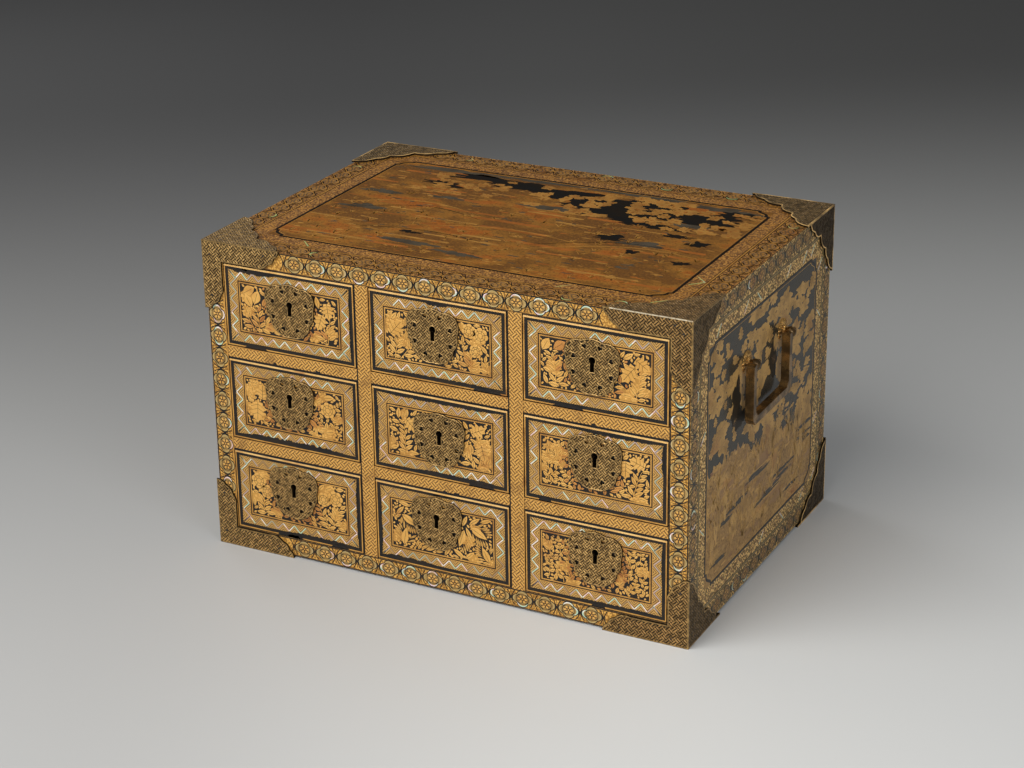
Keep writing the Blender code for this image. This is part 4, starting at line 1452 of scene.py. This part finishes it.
def dress_face(name, face, half, widths, palette, shells, rng):
    """The borders of a large face; widths are where the outer border and the second band end."""
    outer, second = widths
    layers = border_layers(name, face, palette)
    shape = (outer / MEDALLION_BAND, 1.18, 1.2)
    layers["ground"].band(inset_box(half, second + 1), inset_box(half, 0.3), BASE_RISE)
    for side in (-1, 1):
        for across, clear in ((True, 46), (False, 44)):
            long, far = half if across else half[::-1]
            row = side * (far - outer / 2)
            count = round((long - clear) / MEDALLION_PITCH)
            run = MEDALLION_PITCH * count
            ends = [(-run, row), (run, row)]
            ends = ends if across else swapped(ends)
            medallion_row(layers, *ends, 2 * count, outer / 2 - 1.0, shape, rng, shells * MEDALLION_SHELLS)
    for kind, start, end, height in SHELL_LINE:
        layers[kind].band(inset_box(half, outer + end), inset_box(half, outer + start), height)
    broken_zigzag(layers, half, outer + 4.0, second - 2.0, shells, rng)
    outline = cusped_outline(half, second)
    layers["dark"].bead(outline, 0.0, 2.4, 0.22)
    layers["gold"].bead(outline, 3.0, 0.5, 0.18)
    build_all(layers.values())


def broken_zigzag(layers, half, low, high, shells, rng):
    """The second band: a zigzag of which some slips are still bright."""
    for side in (-1, 1):
        for across in (True, False):
            long, far = half if across else half[::-1]
            length = long - low
            count = 2 * round(length / (high - low))
            step = 2 * length / count
            for index in range(count):
                deep = (high, low) if index % 2 else (low, high)
                start = (index * step - length, side * (far - deep[0]))
                ends = [start, (index * step + step - length, side * (far - deep[1]))]
                ends = ends if across else swapped(ends)
                chance = rng.random()
                kind = "shell" if chance < shells * 0.6 else "dull" if chance < 0.35 else "brown"
                layers[kind].slip(bar(*ends, ZIGZAG_WIDE), 0.16)


# A picture's layers and their slots; the rub layer holds painted shadow
PICTURE_LAYERS = {
    "mist": "gold_lacquer", "red": "gold_lacquer", "pool": "black_lacquer", "slate": "black_lacquer",
    "gold": "gold_lacquer", "rub": "black_lacquer",
}
# Heights of pools, slates and painted shadows, which lie in steps so that no two share a level
POOL_RISE = 0.106
POOL_STEP = 0.0002
SHADOW_RISE = 0.185
SHADOW_STEP = 0.001
BLADE_WIDTHS = (0.5, 0.9, 0.9, 0.8, 0.6, 0.4, 0.1)
TUFT_SIZES = (3, 4, 5)
RIDGE_STEPS = 14


class Picture:
    """A misty garden in gold on a dark ground, drawn on a rectangle of a face."""

    MARGIN = 1.5

    def __init__(self, name, face, half, paints, rng):
        self.half = half
        self.rng = rng
        self.layers = {
            kind: Relief(name + "_" + kind, paint, face, slot=slot)
            for (kind, slot), paint in zip(PICTURE_LAYERS.items(), paints)
        }
        self.layers["mist"].box((-half[0], -half[1]), half, BASE_RISE)

    def spot(self, left, right, low, high):
        """A random place between limits that are shares of half the picture's width and height."""
        u, v = spot(self.rng, left, right, low, high)
        return u * self.half[0], v * self.half[1]

    def draw(self, kind, outline, height):
        """A slip that is held inside the picture."""
        u = self.half[0] - self.MARGIN
        v = self.half[1] - self.MARGIN
        self.layers[kind].slip(held(outline, (-u, -v), (u, v)), height)

    def patch(self, kind, middle, half_long, half_tall, ragged, height, count):
        self.draw(kind, blotch(self.rng, middle, half_long, half_tall, ragged, count), height)

    def cloud(self, kind, count, low, high, length, tall):
        """Bands of mist with round ends between two levels, given as shares of the picture's height."""
        rng = self.rng
        for step in range(count):
            half_long = rng.uniform(*length) / 2
            half_tall = rng.uniform(*tall) / 2
            u = rng.uniform(-1, 1) * (self.half[0] - 4)
            v = rng.uniform(low, high) * (self.half[1] - 6)
            points = []
            for end in (1, -1):
                for degrees in (-90, -54, -18, 18, 54, 90):
                    turn = math.radians(degrees)
                    along = half_long + half_tall * rng.uniform(0.8, 1.2) * math.cos(turn)
                    points.append((u + end * along, v + end * half_tall * math.sin(turn)))
            self.draw(kind, points, 0.06 + 0.02 * rng.random())

    def lump(self, middle, half_long, half_tall):
        """A clump of foliage: a jagged gold patch with darker strokes that fan out over it."""
        rng = self.rng
        height = 0.11 + 0.05 * rng.random()
        self.patch("gold", middle, half_long, half_tall, 0.30, height, 40)
        for step in range(8):
            turn = rng.uniform(0, FULL_TURN)
            near = rng.uniform(0.1, 0.4)
            ends = []
            for share in (near, near + rng.uniform(0.3, 0.5)):
                u = middle[0] + half_long * share * math.cos(turn)
                ends.append((u, middle[1] + half_tall * share * math.sin(turn)))
            self.draw("red", bar(*ends, 0.55), height + 0.02)

    def lumps(self, count, limits, length, tall):
        for step in range(count):
            self.lump(self.spot(*limits), self.rng.uniform(*length), self.rng.uniform(*tall))

    def dabs(self, kinds, count, low, high, length, tall):
        """Short level strokes strewn between two levels."""
        rng = self.rng
        for step in range(count):
            place = self.spot(-0.97, 0.97, low, high)
            kind = rng.choice(kinds)
            half_long = rng.uniform(*length)
            half_tall = rng.uniform(*tall)
            self.patch(kind, place, half_long, half_tall, 0.3, 0.085 + 0.02 * rng.random(), 10)

    def tufts(self, count, limits, length):
        """Blades of grass, some from each root."""
        rng = self.rng
        for step in range(count):
            root = self.spot(*limits)
            blades = rng.choice(TUFT_SIZES)
            tall = rng.uniform(*length)
            for number in range(blades):
                turn = math.radians(rng.uniform(45, 135))
                bend = rng.uniform(-0.12, 0.12)
                line = [Vector(root)]
                for part in range(6):
                    turn += bend
                    line.append(toward(line[-1], turn, tall * rng.uniform(0.7, 1.0) / 6))
                self.draw("gold", ribbon(line, BLADE_WIDTHS), 0.15)

    def ridge(self, start, end, rise, kind, width):
        """A long arched line, as of a hill or a stream's bank."""
        points = []
        widths = []
        for step in range(RIDGE_STEPS + 1):
            share = step / RIDGE_STEPS
            place = Vector(start).lerp(Vector(end), share)
            points.append((place.x, place.y + rise * math.sin(math.pi * share)))
            widths.append(width * (0.3 + 0.7 * math.sin(math.pi * (0.08 + 0.84 * step / RIDGE_STEPS))))
        self.draw(kind, ribbon(points, widths), 0.13)


# Places on the top picture as shares of its half width and half depth, with half lengths in millimetres
TOP_POOLS = (
    (-0.42, 0.84, 40, 8), (-0.20, 0.78, 36, 9), (0.12, 0.72, 50, 14), (0.42, 0.66, 58, 22),
    (0.30, 0.46, 50, 11), (0.72, 0.62, 34, 14), (0.86, 0.82, 18, 8), (0.55, 0.34, 28, 6),
    (-0.62, 0.60, 18, 6), (0.45, -0.02, 14, 6), (0.62, -0.24, 6, 4), (0.85, 0.10, 9, 6),
    (0.88, -0.32, 7, 4), (0.72, 0.20, 12, 4), (-0.42, -0.52, 9, 3),
)
TOP_SLATES = (
    (-0.66, 0.92, 42, 5), (-0.20, 0.95, 50, 3), (0.35, 0.95, 40, 4), (0.80, 0.90, 28, 6),
    (0.72, 0.46, 26, 5), (0.02, 0.40, 26, 5), (-0.80, -0.14, 20, 5), (-0.84, 0.24, 16, 5),
    (-0.36, -0.72, 30, 4), (-0.08, -0.80, 18, 4), (0.62, -0.06, 22, 5), (-0.50, 0.30, 16, 3),
)
TOP_RIDGES = (
    ((-0.92, -0.10), (-0.30, 0.06), 18, "gold", 1.2),
    ((-0.86, -0.20), (-0.22, -0.06), 20, "pool", 0.8),
    ((-0.40, -0.34), (0.34, -0.24), 14, "gold", 1.2),
    ((0.16, -0.40), (0.86, -0.10), 16, "pool", 0.9),
    ((0.20, -0.46), (0.92, -0.18), 17, "gold", 1.2),
    ((-0.70, -0.56), (-0.06, -0.50), 9, "pool", 0.8),
)
# Painted shadows on the sides behind the bails, dark patches where the bails shade the side: place and half
# sizes in millimetres
HANDLE_SHADOWS = ((-58, 174, 8, 22), (-48, 157, 14, 7), (20, 182, 7, 16), (-38, 180, 4, 11))
PICTURE_MIDDLE = 138.5


def top_picture(face, half):
    rng = random.Random("top picture")
    paints = ("top_mist", "top_red_gold", "top_black", "slate_lacquer", "top_gold_relief", "top_black")
    picture = Picture("top_picture", face, half, paints, rng)
    wide, tall = half
    picture.cloud("red", 34, -0.95, 0.95, (14, 70), (2.0, 5.0))
    picture.cloud("gold", 22, -0.95, 0.60, (20, 70), (1.4, 3.2))
    picture.dabs(("red", "gold", "gold", "slate"), 420, -0.97, 0.97, (1.5, 6.0), (0.5, 1.2))
    for kind, places in (("pool", TOP_POOLS), ("slate", TOP_SLATES)):
        for step, (u, v, length, height) in enumerate(places):
            place = (u * wide, v * tall)
            picture.patch(kind, place, length, height, 0.38, POOL_RISE + POOL_STEP * step, 110)
    picture.lumps(74, (-0.14, 0.95, 0.32, 0.92), (3.5, 10), (2.5, 7))
    picture.lumps(26, (-0.72, -0.30, 0.40, 0.85), (3, 8), (2, 5))
    for start, end, *shape in TOP_RIDGES:
        picture.ridge(*[(u * wide, v * tall) for u, v in (start, end)], *shape)
    picture.tufts(110, (-0.94, 0.94, -0.95, 0.30), (6, 13))
    build_all(picture.layers.values())


def side_picture(name, face, half):
    rng = random.Random("side picture")
    paints = ("side_mist", "side_brown_gold", "side_black", "side_black", "side_gold_relief", "side_rub")
    picture = Picture(name, face, half, paints, rng)
    wide, tall = half
    picture.cloud("red", 26, -0.95, 0.1, (14, 50), (2.0, 6.0))
    picture.dabs(("red", "gold"), 160, -0.97, 0.0, (2.0, 6.0), (0.7, 1.6))
    shore = [(wide, tall), (-wide, tall)]
    for step in range(81):
        share = step / 40 - 1
        level = -0.17 - 0.19 * share + 0.05 * math.sin(9 * share) + rng.uniform(-0.06, 0.06)
        shore.append((share * wide, level * tall))
    picture.draw("pool", shore, 0.09)
    for step in range(130):
        share = rng.uniform(-0.95, 0.95)
        place = (share * wide, rng.uniform(-0.16 - 0.19 * share, 0.96) * tall)
        size = rng.uniform(0.5, 1.2)
        picture.lump(place, rng.uniform(7, 13) * size, rng.uniform(5, 8) * size)
    # Painted shadows behind the bails, laid in the rub layer
    for step, (y, z, half_long, half_tall) in enumerate(HANDLE_SHADOWS):
        place = (y, z - PICTURE_MIDDLE)
        picture.patch("rub", place, half_long, half_tall, 0.30, SHADOW_RISE + SHADOW_STEP * step, 60)
    for step in range(16):
        place = picture.spot(-0.9, 0.9, -0.92, -0.40)
        half_long = rng.uniform(8, 26)
        half_tall = rng.uniform(0.9, 2.2)
        picture.patch("slate", place, half_long, half_tall, 0.3, POOL_RISE + POOL_STEP * step, 40)
    picture.lumps(26, (-0.9, 0.9, -0.75, -0.15), (2.5, 5), (7, 14))
    field = Field((-wide, -tall), half)
    garden = Garden(rng, field, picture.layers["gold"], picture.layers["red"], 0.18)
    for step in range(60):
        place = picture.spot(-0.92, 0.92, -0.10, 0.86)
        garden.broad(place, math.radians(rng.uniform(20, 160)), rng.uniform(7, 13))
    picture.tufts(70, (-0.92, 0.92, -0.95, -0.2), (10, 24))
    build_all(picture.layers.values())


# Where clumps lie on the back, as shares of its half width and half height less the edge that is kept clear
BACK_CLUMPS = ((-0.75, -0.25), (-0.52, 0.35), (-0.10, -0.45), (0.30, 0.10), (0.62, -0.30), (0.74, 0.42))
BACK_CLEAR = 16


def back_picture():
    """The back: black lacquer with a gold line and a few plants."""
    rng = random.Random("back picture")
    low, high = box_mm("back_panel")
    half = ((high.x - low.x) / 2 - 1.5, (high.z - low.z) / 2 - 1.5)
    face = upright(LEFTWARD, 0, high.y, (low.z + high.z) / 2)
    paints = (
        "black_lacquer", "side_brown_gold", "side_black", "side_black", "side_gold_relief", "black_lacquer"
    )
    picture = Picture("back_picture", face, half, paints, rng)
    picture.layers["gold"].bead(cusped_outline(half, 9), 0.0, 1.1, 0.15)
    inner = (half[0] - BACK_CLEAR, half[1] - BACK_CLEAR)
    for u, v in BACK_CLUMPS:
        for step in range(9):
            place = (u * inner[0] + rng.uniform(-24, 24), v * inner[1] + rng.uniform(-14, 14))
            picture.lump(place, rng.uniform(5, 11), rng.uniform(3.5, 7))
    limits = (-inner[0] / half[0], inner[0] / half[0], -inner[1] / half[1], -0.55 * inner[1] / half[1])
    picture.tufts(70, limits, (10, 26))
    build_all(picture.layers.values())


ROSETTE_FLUTES = 16
# Radius and height of the boss, from its rim to its neck, and how deep the flutes are there
ROSETTE_RINGS = (
    (9.7, -0.05, 0.05), (9.7, 0.5, 0.05), (9.0, 1.3, 0.14), (7.4, 1.95, 0.20), (5.6, 2.3, 0.18),
    (4.6, 2.6, 0.06), (4.2, 3.4, 0.0), (3.3, 3.9, 0.0),
)
ROSETTE_RISE = 0.9


def dress_handle_post(name, side):
    """A fluted rosette where a post enters the side."""
    steps = ROSETTE_FLUTES * 4
    low, high = box_mm(name)
    middle = (low + high) / 2
    face = upright((0, side, 0), side * SIDE_HIGH.x, middle.y, middle.z + ROSETTE_RISE)
    relief = Relief(name + "_rosette", "rosette_gilt", face)
    levels = []
    for radius, height, flute in ROSETTE_RINGS:
        outline = []
        for step in range(steps):
            turn = FULL_TURN * step / steps
            swell = abs(math.sin(ROSETTE_FLUTES * turn / 2))
            reach = radius * (1 - flute + flute * swell)
            outline.append(tuple(toward((0, 0), turn + 0.05 * radius, reach)))
        levels.append((outline, height))
    relief.rise(levels)
    relief.build()


for node in NODES:
    if node.endswith("_mount"):
        dress_mount(node)
    elif node.endswith(("_post", "_bail")):
        dress(node, "cast_gilt")
    elif node.endswith(("_divider", "_shelf")):
        dress(node, "inner_lacquer")
    elif node.endswith("_panel"):
        dress(node, "black_lacquer")
for row in ROWS:
    for column in COLUMNS:
        dress_drawer(row + "_" + column)
dress_rails()
SIDES = (("left", -1), ("right", 1))
for hand, side in SIDES:
    for depth in ("front", "rear"):
        dress_handle_post(hand + "_" + depth + "_handle_post", side)
FRONT_FACE = upright(RIGHTWARD, 0, TOP_LOW.y, 0)
BACK_FACE = upright(LEFTWARD, 0, TOP_HIGH.y, 0)
dress_edges("front_border", FRONT_FACE, FRONT_PALETTE, random.Random("front border"), 0.24)
back_picture()
dress_edges("back_border", BACK_FACE, SIDE_PALETTE, random.Random("back border"), 0.05)
TOP_FACE = Face((0, 0, TOP_HIGH.z * MM), RIGHTWARD, REARWARD)
TOP_WIDTHS = (20.5, 36.5)
SIDE_WIDTHS = (17.0, 32.0)
TOP_HALF = (TOP_HIGH.x, TOP_HIGH.y)
SIDE_HALF = (TOP_HIGH.y, (TOP_HIGH.z - BASE_LOW.z) / 2)
SIDE_MIDDLE = (TOP_HIGH.z + BASE_LOW.z) / 2


def inside(half, widths):
    """Half sizes of the picture inside a face's borders."""
    return (half[0] - widths[1] - 1.0, half[1] - widths[1] - 1.0)


dress_face("top_border", TOP_FACE, TOP_HALF, TOP_WIDTHS, TOP_PALETTE, 0.08, random.Random("top border"))
top_picture(TOP_FACE, inside(TOP_HALF, TOP_WIDTHS))
for hand, side in SIDES:
    face = upright((0, side, 0), side * SIDE_HIGH.x, 0, SIDE_MIDDLE)
    rng = random.Random("side border")
    dress_face(hand + "_border", face, SIDE_HALF, SIDE_WIDTHS, SIDE_PALETTE, 0.16, rng)
    side_picture(hand + "_picture", face, inside(SIDE_HALF, SIDE_WIDTHS))

# Floor colours near the camera and far from it, at its left and at its right: painted shade that darkens the
# floor away from the camera and towards the left
FLOOR_LEFT = ((0.490, 0.497, 0.497), (0.101, 0.102, 0.103))
FLOOR_RIGHT = ((0.700, 0.713, 0.709), (0.124, 0.126, 0.126))
FLOOR_REACH = 9.0
# Lamps: place, size, watts and colour
LAMP_AIM = Vector((0, 0, 0.12))
LAMPS = {
    "key": ((-0.5, -1.40, 1.60), (2.0, 1.6), 43.6, (1.0, 0.975, 0.94)),
    "fill": ((1.55, -1.05, 0.8), (0.9, 0.9), 11, (0.98, 0.98, 1.0)),
    "back": ((-1.9, 0.9, 1.1), (0.9, 0.9), 6, (0.97, 0.98, 1.0)),
}
WORLD_COLOUR = (0.88, 0.88, 0.875, 1.0)
WORLD_STRENGTH = 0.19
# The camera: its focal length and upright shift in pixels of a picture so wide, and its angles in degrees
PICTURE_WIDE = 1024
FOCAL_LENGTH = 2333.6
LENS_SHIFT = -48
SENSOR_WIDE = 36.0
CAMERA_PLACE = (0.8483, -1.647, 0.902)
CAMERA_YAW = 27.582
CAMERA_PITCH = 21.456
CAMERA_ROLL = -0.842


def build_stage():
    """Pale floor, soft lamps and the camera at the photograph's angle."""
    scene = bpy.context.scene
    mesh = bpy.data.meshes.new("floor")
    corners = box_outline((-FLOOR_REACH, -FLOOR_REACH), (FLOOR_REACH, FLOOR_REACH))
    mesh.from_pydata([(*corner, 0) for corner in corners], [], [(0, 1, 2, 3)])
    floor = show("floor", mesh)
    paint = Paint("floor")
    x, y, _ = paint.axes()
    # Painted shade: the floor's colour darkens with distance and towards the left
    far = paint.math("ADD", paint.math("MULTIPLY", y, 0.80), paint.math("MULTIPLY", x, -0.60))
    painted_falloff = paint.smooth(far, -0.45, 1.47)
    across = paint.math("ADD", paint.math("MULTIPLY", x, 0.886), paint.math("MULTIPLY", y, 0.463))
    left = paint.mix(painted_falloff, *FLOOR_LEFT)
    right = paint.mix(painted_falloff, *FLOOR_RIGHT)
    colour = paint.over(left, right, across, -0.36, 0.15)
    mesh.materials.append(paint.finish(colour, 0.85, 0.0, 0.2))

    scene.world = bpy.data.worlds.new("studio")
    scene.world.use_nodes = True
    background = scene.world.node_tree.nodes["Background"]
    background.inputs[0].default_value = WORLD_COLOUR
    background.inputs[1].default_value = WORLD_STRENGTH

    for name, (place, size, watts, colour) in LAMPS.items():
        light = bpy.data.lights.new(name, "AREA")
        light.shape = "RECTANGLE"
        light.size, light.size_y = size
        light.energy = watts
        light.color = colour
        lamp = show(name, light)
        lamp.location = place
        lamp.rotation_euler = (LAMP_AIM - Vector(place)).to_track_quat("-Z", "Y").to_euler()

    lens = bpy.data.cameras.new("camera")
    lens.sensor_fit = "HORIZONTAL"
    lens.sensor_width = SENSOR_WIDE
    lens.lens = FOCAL_LENGTH / PICTURE_WIDE * SENSOR_WIDE
    lens.shift_y = LENS_SHIFT / PICTURE_WIDE
    lens.clip_end = 60
    yaw = Matrix.Rotation(math.radians(CAMERA_YAW), 4, "Z")
    pitch = Matrix.Rotation(math.pi / 2 - math.radians(CAMERA_PITCH), 4, "X")
    roll = Matrix.Rotation(math.radians(CAMERA_ROLL), 4, "Z")
    camera = show("camera", lens)
    camera.matrix_world = Matrix.Translation(CAMERA_PLACE) @ (yaw @ pitch @ roll)
    scene.camera = camera
    scene.view_settings.view_transform = "Standard"


build_stage()
